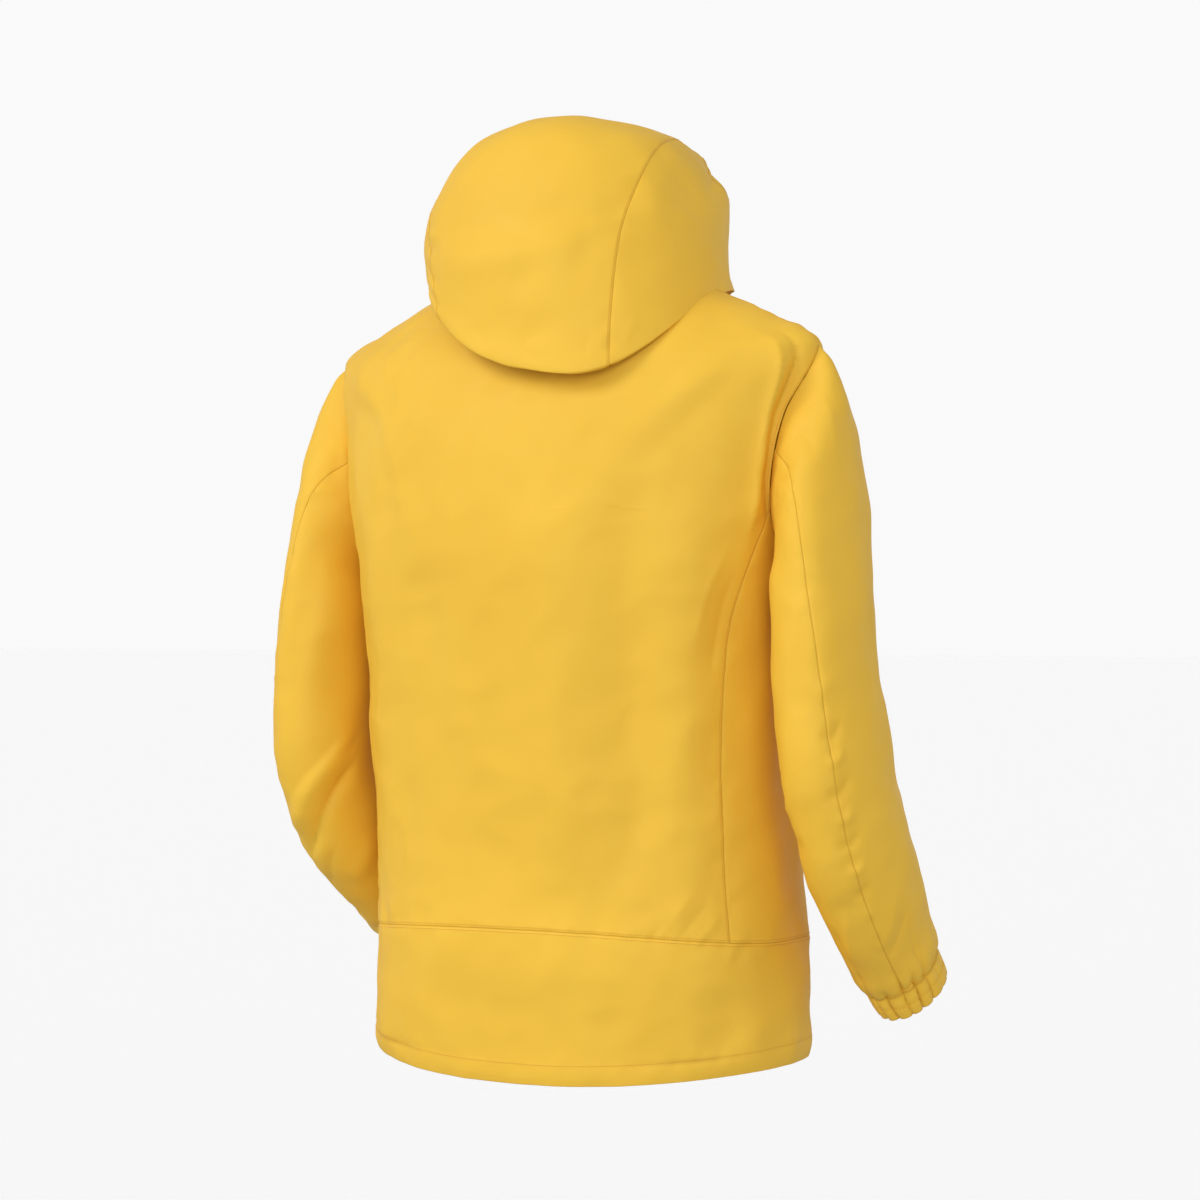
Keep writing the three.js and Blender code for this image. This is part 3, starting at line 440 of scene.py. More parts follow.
# %% Folds of the body
BODY_FOLDS = [
    # the long break down the back, and its hollow
    (7.0, 30, [(-190, -8), (-330, -11), (-470, -12), (-590, -13)]),
    (-6.5, 28, [(-150, -29), (-300, -31), (-450, -32), (-590, -32)]),
    (4.0, 24, [(-200, -50), (-320, -49), (-440, -47), (-560, -46)]),
    (-3.0, 28, [(-210, 24), (-360, 20), (-520, 18)]),
    (3.5, 24, [(-190, 44), (-330, 41), (-470, 43), (-580, 42)]),
    # the back panel rolls over the right armhole
    (6.5, 9, [(-56, -62), (-90, -65), (-130, -67), (-180, -68), (-225, -69), (-262, -68)]),
    (-10.0, 6.5, [(-62, -70), (-92, -72), (-130, -73), (-170, -73), (-210, -75), (-246, -77)]),
    (3.0, 10, [(-70, 62), (-105, 64), (-150, 66), (-200, 67), (-245, 67)]),
    (-4.5, 8, [(-82, 74), (-108, 74), (-150, 73), (-200, 74), (-232, 75)]),
    # soft drag lines from the shoulders and the blades
    (1.6, 15, [(-70, -54), (-120, -38), (-165, -26)]),
    (-1.4, 13, [(-92, -56), (-150, -40), (-200, -30)]),
    (2.6, 14, [(-76, 56), (-130, 40), (-200, 30)]),
    (-2.4, 12, [(-100, 52), (-160, 36), (-240, 30)]),
    (2.2, 11, [(-250, -62), (-300, -54), (-352, -50)]),
    (-2.0, 9, [(-266, -66), (-318, -60), (-372, -56)]),
    # puckers down the left edge of the back
    (0.9, 5, [(-300, 60), (-306, 50), (-300, 42)]),
    (-0.9, 5, [(-322, 61), (-329, 51), (-322, 40)]),
    (0.9, 6, [(-346, 61), (-356, 52), (-352, 45)]),
    (-0.8, 5, [(-374, 60), (-382, 52), (-378, 44)]),
    (0.8, 6, [(-402, 60), (-410, 50), (-404, 43)]),
    (0.7, 5, [(-452, 60), (-460, 52), (-458, 46)]),
    # wrinkles that fan out above and below the band's seam, right of the middle
    (1.5, 7, [(-552, -50), (-570, -45), (-588, -40), (-604, -36)]),
    (-1.3, 6, [(-560, -55), (-576, -50), (-592, -45), (-606, -41)]),
    (1.2, 5.5, [(-566, -60), (-580, -56), (-595, -51), (-607, -47)]),
    (-1.0, 5, [(-574, -44), (-588, -39), (-602, -34)]),
    (1.1, 5, [(-590, -66), (-603, -62), (-620, -58)]),
    (-1.0, 5, [(-586, -71), (-600, -67), (-618, -63)]),
    (1.0, 5, [(-582, -82), (-598, -77), (-616, -73)]),
    (1.0, 6, [(-570, 48), (-586, 42), (-602, 37)]),
    (-0.9, 5, [(-576, 54), (-590, 49), (-604, 44)]),
    (0.9, 6, [(-580, 84), (-598, 79), (-612, 74)]),
    # the band: a soft roll under the seam and a hollow that runs down to the hem on the right
    (4.0, 38, [(-612, -64), (-616, -20), (-616, 20), (-612, 62)]),
    (-5.0, 32, [(-694, -64), (-698, -20), (-698, 20), (-694, 62)]),
    (-2.0, 26, [(-664, -38), (-668, -8), (-660, 24)]),
    (-1.8, 18, [(-640, -64), (-668, -56), (-694, -50)]),
    (1.5, 14, [(-652, -78), (-672, -70), (-696, -64)]),
    (-1.3, 8, [(-664, -88), (-682, -82), (-700, -78)]),
    (1.2, 7, [(-668, -96), (-686, -90), (-702, -86)]),
    (1.5, 18, [(-640, 58), (-672, 52), (-700, 50)]),
    # side panels
    (-2.0, 18, [(-300, -92), (-400, -90), (-500, -92), (-580, -96)]),
    (1.5, 12, [(-290, -78), (-350, -80), (-420, -78)]),
    (-1.2, 9, [(-350, -100), (-380, -92), (-402, -84)]),
    (-2.0, 18, [(-300, 92), (-400, 94), (-500, 92), (-580, 96)]),
    (1.2, 10, [(-470, -104), (-500, -95), (-520, -88)]),
    (1.3, 10, [(-480, 102), (-506, 94), (-530, 88)]),
    # fronts
    (-2.6, 26, [(-200, 152), (-340, 148), (-480, 150), (-620, 154)]),
    (2.2, 24, [(-170, 136), (-320, 133), (-470, 132), (-610, 134)]),
    (-2.4, 26, [(-210, -150), (-360, -152), (-500, -149), (-640, -152)]),
    (2.4, 22, [(-180, -134), (-330, -132), (-480, -134), (-600, -132)]),
    (2.2, 12, [(-94, 116), (-130, 128), (-176, 140)]),
    (-2.2, 11, [(-110, 112), (-152, 124), (-204, 136)]),
    (2.0, 12, [(-96, -114), (-136, -126), (-184, -139)]),
    (-2.4, 11, [(-116, -110), (-158, -122), (-210, -133)]),
    (1.4, 10, [(-262, 114), (-300, 124), (-352, 132)]),
    (-1.5, 10, [(-270, -113), (-316, -122), (-370, -130)]),
    (-1.2, 8, [(-540, 122), (-570, 132), (-590, 142)]),
    (1.2, 8, [(-556, -120), (-590, -130), (-612, -141)]),
    (-1.3, 12, [(-40, 130), (-70, 145), (-84, 158)]),
    (-1.2, 12, [(-36, -126), (-66, -142), (-80, -156)]),
]
print(len(BODY_FOLDS), "folds laid on the body")

# %% Folds of the hood and the arms
HOOD_FOLDS = [
    # the crown slumps: a soft break across it, and the hollow below
    (4.5, 20, [(6.3, -44), (5.95, -16), (5.8, 12), (5.9, 42)]),
    (-2.4, 24, [(5.1, -38), (4.9, -8), (4.85, 18), (5.0, 38)]),
    (1.6, 12, [(4.25, -56), (4.12, -20), (4.1, 16), (4.2, 44)]),
    # short tucks beside the right seam
    (-1.2, 4, [(7.35, -50), (7.3, -40), (7.3, -30)]),
    (1.0, 4.5, [(7.15, -50), (7.1, -38), (7.15, -28)]),
    (-1.4, 6, [(6.8, -52), (6.7, -42), (6.7, -33)]),
    (1.2, 7, [(6.45, -54), (6.3, -40), (6.2, -28)]),
    # small puckers near the fold
    (0.9, 5, [(4.9, -38), (4.7, -34), (4.45, -31)]),
    (-0.9, 5, [(4.95, -29), (4.7, -27), (4.4, -24)]),
    (1.0, 5, [(4.8, -48), (4.6, -44), (4.4, -40)]),
    (-0.8, 4, [(4.7, 12), (4.55, 8), (4.4, 6)]),
    # crumples on the left edge
    (1.4, 6, [(6.25, 48), (6.15, 40), (6.2, 28)]),
    (-1.4, 6, [(5.95, 48), (5.85, 39), (5.9, 28)]),
    (1.4, 6, [(5.65, 48), (5.6, 40), (5.65, 30)]),
    (-1.6, 7, [(5.25, 50), (5.15, 40), (5.25, 28)]),
    (1.4, 6, [(4.95, 50), (4.85, 40), (4.8, 28)]),
    (-1.4, 5, [(4.7, 50), (4.6, 40), (4.55, 30)]),
    (1.2, 5, [(4.45, 50), (4.4, 40), (4.35, 30)]),
    # the side panels sink behind the seam
    (-2.0, 24, [(7.6, -76), (7.0, -76), (6.4, -76)]),
    (1.6, 14, [(7.4, -58), (6.8, -58), (6.2, -56)]),
    (-4.0, 20, [(7.4, 80), (6.8, 86), (6.2, 88)]),
    (2.0, 14, [(5.4, 84), (5.0, 86), (4.6, 84)]),
    # the brim and the front of the collar
    (1.8, 12, [(10.6, -40), (10.2, -8), (10.4, 30)]),
    (-1.6, 12, [(9.6, -30), (9.3, 6), (9.5, 36)]),
    (-2.2, 13, [(2.2, 128), (3.0, 138), (4.2, 146)]),
    (2.0, 11, [(3.2, 118), (4.0, 128), (5.0, 134)]),
    (-2.0, 13, [(2.2, -126), (3.1, -138), (4.3, -147)]),
    (1.8, 11, [(3.1, -116), (4.1, -127), (5.2, -133)]),
]
ARM_FOLDS = {
    "right": [
        (3.5, 18, [(0.0, 0.2), (0.06, 0.2), (0.13, 0.2), (0.2, 0.2)]),
        # a soft ridge from the armpit, and the long puckered line down the elbow
        (2.2, 18, [(0.22, 4.6), (0.34, 3.6), (0.46, 3.2), (0.58, 3.2)]),
        (-2.4, 18, [(0.2, 6.6), (0.34, 5.6), (0.48, 5.2), (0.6, 5.0)]),
        (1.6, 10, [(0.1, 6.2), (0.16, 5.2), (0.24, 4.6)]),
        (-1.8, 9, [(0.07, 4.4), (0.13, 3.4), (0.2, 2.8)]),
        (1.5, 10, [(0.07, 2.4), (0.15, 1.6), (0.24, 1.2)]),
        (-3.4, 5, [(0.55, 2.2), (0.575, 3.0), (0.565, 3.8)]),
        (3.4, 5, [(0.59, 2.3), (0.605, 3.0), (0.6, 3.7)]),
        (-3.8, 6, [(0.625, 2.2), (0.65, 3.1), (0.64, 3.9)]),
        (3.2, 5, [(0.67, 2.4), (0.685, 3.0), (0.675, 3.7)]),
        (-3.4, 5, [(0.705, 2.3), (0.72, 3.1), (0.71, 3.8)]),
        (3.4, 5.5, [(0.75, 2.4), (0.76, 3.1), (0.75, 3.8)]),
        (-3.0, 5, [(0.785, 2.5), (0.795, 3.2), (0.79, 3.8)]),
        (-1.3, 5, [(0.6, 6.5), (0.62, 7.8), (0.6, 9.2)]),
        (1.6, 7, [(0.64, 6.2), (0.665, 7.6), (0.64, 9.4)]),
        (-1.5, 8, [(0.7, 6.0), (0.72, 7.4), (0.7, 8.8)]),
        (2.2, 9, [(0.82, 1.2), (0.87, 2.4), (0.9, 3.6)]),
        (-2.0, 7, [(0.86, 0.8), (0.9, 2.2), (0.93, 3.4)]),
        (2.0, 9, [(0.8, 4.2), (0.87, 5.2), (0.93, 5.6)]),
        (-1.8, 7, [(0.84, 6.2), (0.9, 6.6), (0.94, 6.8)]),
        (1.6, 8, [(0.84, 8.2), (0.9, 8.6), (0.95, 8.4)]),
        (-2.0, 14, [(0.3, -2.6), (0.45, -2.2), (0.6, -2.4)]),
        (1.8, 12, [(0.62, -5.2), (0.7, -3.6), (0.76, -2.2)]),
        (-1.8, 10, [(0.66, -6.0), (0.74, -4.4), (0.8, -3.0)]),
    ],
    "left": [
        (3.5, 18, [(0.0, 0.2), (0.06, 0.2), (0.13, 0.2), (0.2, 0.2)]),
        # the elbow bends further, so the inside of the bend folds deeply
        (-6.0, 7, [(0.62, 9.8), (0.655, 8.2), (0.695, 6.4), (0.735, 4.8), (0.775, 3.2)]),
        (4.5, 12, [(0.57, 9.6), (0.61, 8.0), (0.65, 6.2), (0.69, 4.6), (0.73, 3.2)]),
        (-2.6, 6, [(0.575, 8.6), (0.61, 7.2), (0.64, 5.6), (0.67, 4.2)]),
        (-2.4, 5, [(0.74, 6.6), (0.765, 5.6), (0.8, 4.6), (0.83, 3.6)]),
        (2.4, 12, [(0.75, 9.2), (0.8, 7.4), (0.81, 5.6)]),
        (-2.0, 10, [(0.58, 10.2), (0.61, 8.6), (0.62, 7.0)]),
        (1.8, 14, [(0.2, 4.6), (0.34, 3.8), (0.48, 3.4), (0.58, 3.4)]),
        (-2.0, 14, [(0.2, 6.6), (0.34, 5.8), (0.48, 5.4), (0.6, 5.2)]),
        (1.4, 9, [(0.08, 6.0), (0.15, 5.0), (0.23, 4.2)]),
        (-1.5, 8, [(0.07, 4.0), (0.13, 3.2), (0.2, 2.6)]),
        (1.6, 8, [(0.84, 3.6), (0.9, 4.6), (0.95, 5.0)]),
        (-1.6, 7, [(0.82, 2.4), (0.88, 3.2), (0.94, 3.8)]),
        (1.8, 9, [(0.84, 0.4), (0.9, 1.0), (0.95, 1.2)]),
        (-1.8, 8, [(0.86, -2.2), (0.91, -1.6), (0.96, -1.4)]),
        (1.6, 8, [(0.84, 8.6), (0.9, 8.8), (0.95, 8.6)]),
        (-2.0, 13, [(0.3, -2.6), (0.46, -2.2), (0.6, -2.6)]),
        (1.8, 11, [(0.62, -5.0), (0.7, -3.4), (0.77, -2.2)]),
        (-1.8, 9, [(0.67, -6.0), (0.75, -4.4), (0.8, -3.0)]),
    ],
}
for side, rows in ARM_FOLDS.items():
    print(len(rows), "folds on the", side, "arm, and", len(HOOD_FOLDS), "on the hood")

# %% [markdown]
# ## From a surface to a sheet of cloth
# A panel is a fine grid of points on the form. Its points move out by the folds and waves, and in
# where its edge is turned under for a seam. A seam is held by its thread and puckers, so the waves
# beside it are short and shallow. The sheet then gets a thickness of under a millimetre by a second
# layer inside, closed at the rim, so that it can be seen from both sides.

# %% Grids and their edges
SPACING = 3.3
BESIDE_SEAM = np.array([0, 0.6, 1.3, 2.3, 3.8, 5.8])


def shares(length):
    """Shares from 0 to 1 along an edge of some length, closer together beside the seams at its ends."""
    first, last = BESIDE_SEAM[-1], length - BESIDE_SEAM[-1]
    middle = np.linspace(first, last, int((last - first) / SPACING) + 1)
    return np.concatenate([BESIDE_SEAM[:-1], middle, length - BESIDE_SEAM[-2::-1]]) / length


def grid_normals(points):
    across = np.gradient(points, axis=1)
    along = np.gradient(points, axis=0)
    normal = np.cross(along, across)
    return normal / np.maximum(np.linalg.norm(normal, axis=-1, keepdims=True), 1e-9)


def edge_distances(points):
    """Distance of every point of a grid from its left, right, bottom and top edge."""
    steps = np.linalg.norm(np.diff(points, axis=1), axis=-1)
    left = np.pad(np.cumsum(steps, 1), ((0, 0), (1, 0)))
    rises = np.linalg.norm(np.diff(points, axis=0), axis=-1)
    bottom = np.pad(np.cumsum(rises, 0), ((1, 0), (0, 0)))
    return {"left": left, "right": left[:, -1:] - left, "bottom": bottom, "top": bottom[-1:] - bottom}


armhole_steps = np.linspace(0, ARMHOLE_STEPS, 121)
armhole_lines = [body(*armhole_place(armhole_steps)) * [side, 1, 1] for side, _ in SIDES]
neck_line = body(0, np.linspace(-180, 180, 121))


def distance_to(points, line):
    return np.sqrt(squares_to(points, line).min(-1))


def line_length(line):
    return float(np.linalg.norm(np.diff(line, axis=0), axis=1).sum())


print("armhole edge", round(line_length(armhole_lines[0])), "mm around")

# %% A sheet of cloth from a grid
CLOTH = 0.8


def shell_mesh(name, outer, inner, seam, uv, wrap=False):
    """A closed thin sheet from an outer and an inner grid of points in millimetres."""
    count = outer.shape[0] * outer.shape[1]
    numbers = np.arange(count).reshape(outer.shape[:2])
    rims = [] if wrap else [numbers[::-1, 0], numbers[:, -1]]
    if wrap:
        numbers = np.concatenate([numbers, numbers[:, :1]], 1)
    rims += [numbers[0], numbers[-1, ::-1]]
    cells = [numbers[:-1, :-1], numbers[:-1, 1:], numbers[1:, 1:], numbers[1:, :-1]]
    top = np.stack(cells, -1).reshape(-1, 4)
    faces = [top, top[:, [0, 3, 2, 1]] + count]
    for rim in rims:
        p, q = rim[:-1], rim[1:]
        faces.append(np.stack([q, p, p + count, q + count], -1))
    faces = np.concatenate(faces)
    points = np.concatenate([outer.reshape(-1, 3), inner.reshape(-1, 3)])
    a, b, c, d = points[faces].transpose(1, 0, 2)
    if (a * (np.cross(b, c) + np.cross(c, d))).sum() < 0:
        faces = faces[:, ::-1]
    mesh = bpy.data.meshes.new(name)
    mesh.from_pydata(points * MM, [], faces)
    mesh.validate()
    # The seam attribute carries painted shade: the dark lines of the seams and the grooves of the cuffs'
    # pleats. The inner layer gets none.
    shade = mesh.attributes.new("seam", "FLOAT", "POINT")
    shade.data.foreach_set("value", np.concatenate([seam.ravel(), seam.ravel() * 0]).astype(np.float32))
    layer = mesh.uv_layers.new(name="cut")
    flat = np.tile(uv.reshape(-1, 2), (2, 1))[faces.ravel()] * MM
    layer.data.foreach_set("uv", flat.ravel().astype(np.float32))
    mesh.polygons.foreach_set("use_smooth", np.ones(len(faces), bool))
    return add_object(name, mesh)


print("cloth", CLOTH, "mm thick with turned edges")

# %% Relief beside seams and hems
HEM_WIDTH = 18
SEAM_DEPTH = 0.42
SEAM_SHADE = 0.36
HEM_STITCH_DEPTH = 0.45
HEM_SHADE = 0.35
HEM_ROLL, HEM_ROLL_WIDTH = 3.5, 14
FAR = 1000.0
PUCKER, BUCKLE = 0.45, 0.4


def bell(distance, width):
    return np.exp(-((distance / width) ** 2))


def hem_distance(distances, edges):
    """Distance from the nearest hem, so that a corner between two hems turns as one."""
    away = np.full(distances["left"].shape, FAR)
    for name, kind in edges.items():
        if kind == "hem":
            away = np.minimum(away, distances[name])
    return away


def edge_relief(base, distances, edges):
    """Millimetres in or out beside the edges, and how dark each point is painted as part of a seam's line,
    which is the thread's colour with painted shade of its groove.
    """
    relief = np.zeros(base.shape[:2])
    seam = np.zeros(base.shape[:2])
    fine = PUCKER * waves(base, 12, 5)
    coarse = BUCKLE * waves(base, 24, 6)
    for name, kind in edges.items():
        if kind == "seam":
            d = distances[name]
            relief -= SEAM_DEPTH * bell(d, 0.9) + 0.3 * np.exp(-d / 6)
            relief += fine * np.exp(-d / 8) + coarse * np.exp(-d / 20)
            seam = np.maximum(seam, SEAM_SHADE * bell(d, 0.5))
    d = hem_distance(distances, edges)
    relief -= HEM_ROLL * np.clip(1 - d / HEM_ROLL_WIDTH, 0, 1) ** 2
    relief -= HEM_STITCH_DEPTH * bell(d - HEM_WIDTH, 1.3)
    relief += fine * bell(d - HEM_WIDTH, 8) + coarse * np.exp(-d / 25)
    seam = np.maximum(seam, HEM_SHADE * bell(d - HEM_WIDTH, 0.9))
    return relief, seam


def thickness(distances, edges):
    """A hem is the cloth folded up, so it is twice as thick."""
    return CLOTH + CLOTH * smooth((HEM_WIDTH + 1 - hem_distance(distances, edges)) / 2)


print("seams go in", SEAM_DEPTH, "mm")

# %% A panel on the form
SLACK, CREASE, CRINKLE, FINE_CREASE = 1.3, 0.45, 0.55, 0.5
panels = {}


def keep_panel(name, obj, outer, normal, distances, size):
    panels[name] = {"object": obj, "outer": outer, "normal": normal, "distances": distances, "size": size}
    print(name, outer.shape[:2], "points, cut about", [round(float(x)) for x in size], "mm")


def make_panel(name, base, inside, folds, edges, extra=0.0, near_arm=True):
    """A named sheet of cloth on a grid of the form, and what its stitches need to know."""
    normal = grid_normals(base)
    if (normal * (base - inside)).sum() < 0:
        normal = -normal
    distances = edge_distances(base)
    crinkles = FINE_CREASE - np.abs(waves(base, 52, 4))
    soft = folds + SLACK * waves(base, 105, 2) + CREASE * waves(base, 38, 3) + CRINKLE * crinkles
    hold = 1 - bell(distance_to(base, neck_line), 20)
    relief, seam = edge_relief(base, distances, edges)
    if near_arm:
        for line in armhole_lines:
            apart = distance_to(base, line)
            hold *= 1 - bell(apart, 5)
            relief *= 1 - 0.7 * bell(apart, 6)
    outer = base + normal * (soft * hold + relief + extra)[..., None]
    inner = outer - normal * thickness(distances, edges)[..., None]
    uv = np.stack([(distances["left"] - distances["right"]) / 2, distances["bottom"]], -1)
    obj = shell_mesh(name, outer, inner, seam, uv)
    size = (np.percentile(distances["left"][:, -1], 80), np.percentile(distances["bottom"][-1], 80))
    keep_panel(name, obj, outer, normal, distances, size)


print("the cloth lies loose by about", SLACK, "mm")

# %% [markdown]
# ## The back, its sides and the lower band
# The back is one large panel up to the shoulders. Two curved seams run down from the armholes to the
# band, and give the jacket its waist. The seam's place is a turn around the body at each height, so
# the back and the side panel read it from one table and meet along it.

# %% Seams of the body
notch_level = float(armhole_place(BACK_NOTCH)[0])
SEAM_COLUMNS = ("level", "princess", "side_front")
BODY_SEAMS = [
    (-706, 62, 118),
    (-598, 61, 118),
    (-420, 60, 117),
    (-340, 63, 115),
    (-280, 69, 112),
    (notch_level, float(armhole_place(BACK_NOTCH)[1]), float(armhole_place(FRONT_NOTCH)[1])),
]


def seam_turns(level):
    return rows_at(BODY_SEAMS, SEAM_COLUMNS, np.minimum(level, notch_level))


def body_panel(name, base, edges):
    inside = base * [0, 0, 1] + [0, -15, 0]
    make_panel(name, base, inside, fold_depth(base, body, BODY_FOLDS), edges)


lower = mix(BAND, notch_level, shares(notch_level - BAND)[:-1])
shoulder = mix(SHOULDER_TIP, NECK, shares(178)[1:])
print("the curved seams end", round(notch_level), "mm below the neck, in the armhole")


# %% The back
SEWN = {"left": "seam", "right": "seam", "bottom": "seam", "top": "seam"}
HEMMED = {**SEWN, "bottom": "hem"}


def outer_edge(levels, seam, notch, top, low=()):
    """Heights and turns up one edge: the seam, then the armhole, then the shoulder."""
    steps = np.linspace(notch, top, 42)
    arm_levels, arm_turns = armhole_place(steps)
    straight = np.concatenate([low, levels])
    level = np.concatenate([straight, arm_levels, shoulder])
    turn = np.concatenate([seam_turns(straight)[seam], arm_turns, np.full(len(shoulder), 90.0)])
    return level, turn


level, turn = outer_edge(lower, "princess", BACK_NOTCH, 0)
across = 2 * shares(490) - 1
base = body(level[:, None], across[None] * turn[:, None])
body_panel("cloth_back", base, SEWN)

# %% The sides of the back
for side, name in SIDES:
    lift = shares(340)[:, None]
    share = shares(105)[None]
    top_level, top_turn = armhole_place(mix(BACK_NOTCH, FRONT_NOTCH, share))
    nominal = seam_turns(mix(BAND, notch_level, lift))
    ends = seam_turns(notch_level)
    bend = top_turn - mix(ends["princess"], ends["side_front"], share)
    turn = mix(nominal["princess"], nominal["side_front"], share) + bend * smooth(2 * lift - 1)
    base = body(mix(BAND, top_level, lift), side * turn)
    body_panel(f"cloth_side_{name}", base, SEWN)

# %% The lower band
MIDDLE_SHARE = 0.62
level = mix(HEM, BAND, shares(108))[:, None]
band_seams = seam_turns(level)
share = (2 * shares(640) - 1)[None]
past_seam = (np.abs(share) - MIDDLE_SHARE) / (1 - MIDDLE_SHARE)
turn = np.where(
    past_seam < 0,
    share / MIDDLE_SHARE * band_seams["princess"],
    np.sign(share) * mix(band_seams["princess"], band_seams["side_front"], past_seam),
)
body_panel("cloth_band", body(level, turn), HEMMED)

# %% [markdown]
# ## The fronts
# Nobody sees them in the photograph, so they are plain: one panel each side, from the hem to the neck,
# with the zip between them. They turn under beside the zip, just clear of its teeth.

# %% The fronts
TAPE_HALF = 7.5
low_levels = mix(HEM, BAND, shares(108)[:-1])
for side, name in SIDES:
    level, turn = outer_edge(lower, "side_front", FRONT_NOTCH, ARMHOLE_STEPS, low_levels)
    zip_turn = turn_at_distance(rows_at(BODY_RINGS, BODY_COLUMNS, level), TAPE_HALF)
    share = shares(300)[None]
    base = body(level[:, None], side * mix(turn[:, None], 180 - zip_turn[:, None], share))
    body_panel(f"cloth_front_{name}", base, HEMMED)

# %% [markdown]
# ## The hood
# It has three panels, a long one over the middle and one each side, and it isn't up. It has slumped
# back on itself, so its lower edge hangs behind the neck as a soft fold. Its rings go out from the
# neck, down to that fold and then up over the crown to the brim.

# %% The hood
NECK_SEAM = 0.025
ZIP_TOP = 5
BRIM = 11
along = mix(NECK_SEAM, BRIM, shares(500))
ring = rows_at(HOOD_RINGS, HOOD_COLUMNS, along)
seam_turn = turn_at_distance(ring, ring["seam_out"])
open_turn = np.where(along > ZIP_TOP, ring["open_turn"], 180 - turn_at_distance(ring, TAPE_HALF))


def hood_panel(name, turn, edges):
    base = hood(along[:, None], turn)
    inside = base * [0.2, 0.35, 0] + [0, -20, 30]
    make_panel(name, base, inside, fold_depth(base, hood, HOOD_FOLDS), edges, near_arm=False)


hood_panel("cloth_hood", (2 * shares(210) - 1)[None] * seam_turn[:, None], {**SEWN, "top": "hem"})
for side, name in SIDES:
    turn = side * mix(seam_turn[:, None], open_turn[:, None], shares(270)[None])
    hood_panel(f"cloth_hood_{name}", turn, {**SEWN, "top": "hem", "right": "hem"})

# %% [markdown]
# ## The sleeves
# Each sleeve has two panels. The upper one goes over the arm from the front seam to the back seam, and
# the under one closes it below. The cloth is gathered into the cuff, so pleats run up from the wrist
# and die out at different heights, and the sleeve puffs a little just above the cuff.


# %% Pleats of the wrist
CUFF_PLEATS = 17


def pleats(beta, side):
    """How far in the cloth lies around the wrist: broad rolls with narrow grooves between them."""
    phase = CUFF_PLEATS * beta + 0.9 * np.sin(3 * beta + side) + 0.5 * np.sin(5 * beta + 2)
    depth = 1.5 + 0.8 * np.sin(2 * beta + 0.6 * side) + 0.5 * np.sin(5 * beta + side)
    return -2.4 * np.maximum(depth, 0.3) * (1 - np.abs(np.sin(phase / 2)) ** 0.36)


def gathers(base, distances, step, side):
    beta = 2 * np.pi * step / ARMHOLE_STEPS
    reach = 26 + 12 * np.sin(3 * beta + 1.3) + 9 * np.sin(7 * beta)
    d = distances["top"]
    puff = 2.6 * bell(d - 15, 12) - 1.2 * bell(d, 3)
    return 1.25 * pleats(beta + 0.02 * np.sin(d / 9), side) * bell(d, reach) + puff


print("pleats go in up to", round(float(-pleats(np.linspace(0, 6.28, 500), 1).min()), 1), "mm")


# %% The sleeves
def back_seam_step(share):
    return BACK_ARM_SEAM - 1.8 * smooth(share / 0.6)


for side, name in SIDES:
    surface = arm(side)
    down = shares(560)[:, None]
    centre = surface(down, np.array([0, 5, 10, 15])[None]).mean(1)[:, None]
    for part, first, last, width in (
        ("under", back_seam_step(down), FRONT_ARM_SEAM, 174),
        ("upper", FRONT_ARM_SEAM, ARMHOLE_STEPS + back_seam_step(down), 256),
    ):
        step = mix(first, last, shares(width)[None]) + 0 * down
        base = surface(down, step)
        soft = fold_depth(base, surface, ARM_FOLDS[name])
        extra = gathers(base, edge_distances(base), step, side)
        make_panel(f"cloth_sleeve_{part}_{name}", base, centre, soft, SEWN, extra)

# %% The cuffs
CUFF_LENGTH = 25


def make_cuff(side, name):
    ring = rows_at(ARM_RINGS[name], ARM_COLUMNS, ARM_END)
    along, up, backwards = arm_directions(ring, side)
    centre = np.array([side * ring["x"], ring["y"], ring["z"]])
    beta = np.linspace(0, 2 * np.pi, 261)[None, :-1]
    down = np.concatenate([[-0.2, -0.1, -0.03], np.linspace(0, 1, 18)])[:, None]
    tuck = smooth(-down / 0.1)
    narrow = mix(1, 0.97, down)[..., None]
    wide, deep = float(ring["half_wide"]), float(ring["half_deep"])
    ellipse = up * (wide * np.cos(beta))[..., None] + backwards * (deep * np.sin(beta))[..., None]
    normal = up * (np.cos(beta) / wide)[..., None] + backwards * (np.sin(beta) / deep)[..., None]
    normal = normal / np.linalg.norm(normal, axis=-1, keepdims=True) + 0 * narrow
    pleat = pleats(beta + 0.035 * np.sin(2.2 * down + 3 * beta), side)
    below = CUFF_LENGTH * down
    relief = pleat + 0.9 * np.sin(np.pi * down) - 0.4 - 1.4 * tuck - 0.7 * bell(below - CUFF_LENGTH / 2, 1.2)
    outer = centre + narrow * ellipse + normal * relief[..., None] + along * below[..., None]
    inner = outer - normal * 2 * CLOTH
    arc = np.cumsum(np.linalg.norm(np.roll(outer, -1, 1) - outer, axis=-1), 1)
    uv = np.stack([arc, below + 0 * arc], -1)
    # Painted shade: the grooves of the pleats are darkened by their depth, and the cuff's seam gets a dark
    # line of thread colour with painted shade.
    seam = np.maximum(np.clip(-pleat / 4 - 0.4, 0, 0.9), 0.6 * bell(below, 1.1))
    obj = shell_mesh(f"cloth_cuff_{name}", outer, inner, seam, uv, wrap=True)
    keep_panel(f"cloth_cuff_{name}", obj, outer, normal, None, (arc[:, -1].max(), CUFF_LENGTH))


for side, name in SIDES:
    make_cuff(side, name)

# %% [markdown]
# ## The zip
# A coil zip closes the front. Its two tapes are woven strips sewn under the turned edges of the fronts,
# and the coil's elements stand in a row from each side. The elements repeat along a path, so Geometry
# Nodes place them, with the distance between two of them as an input.

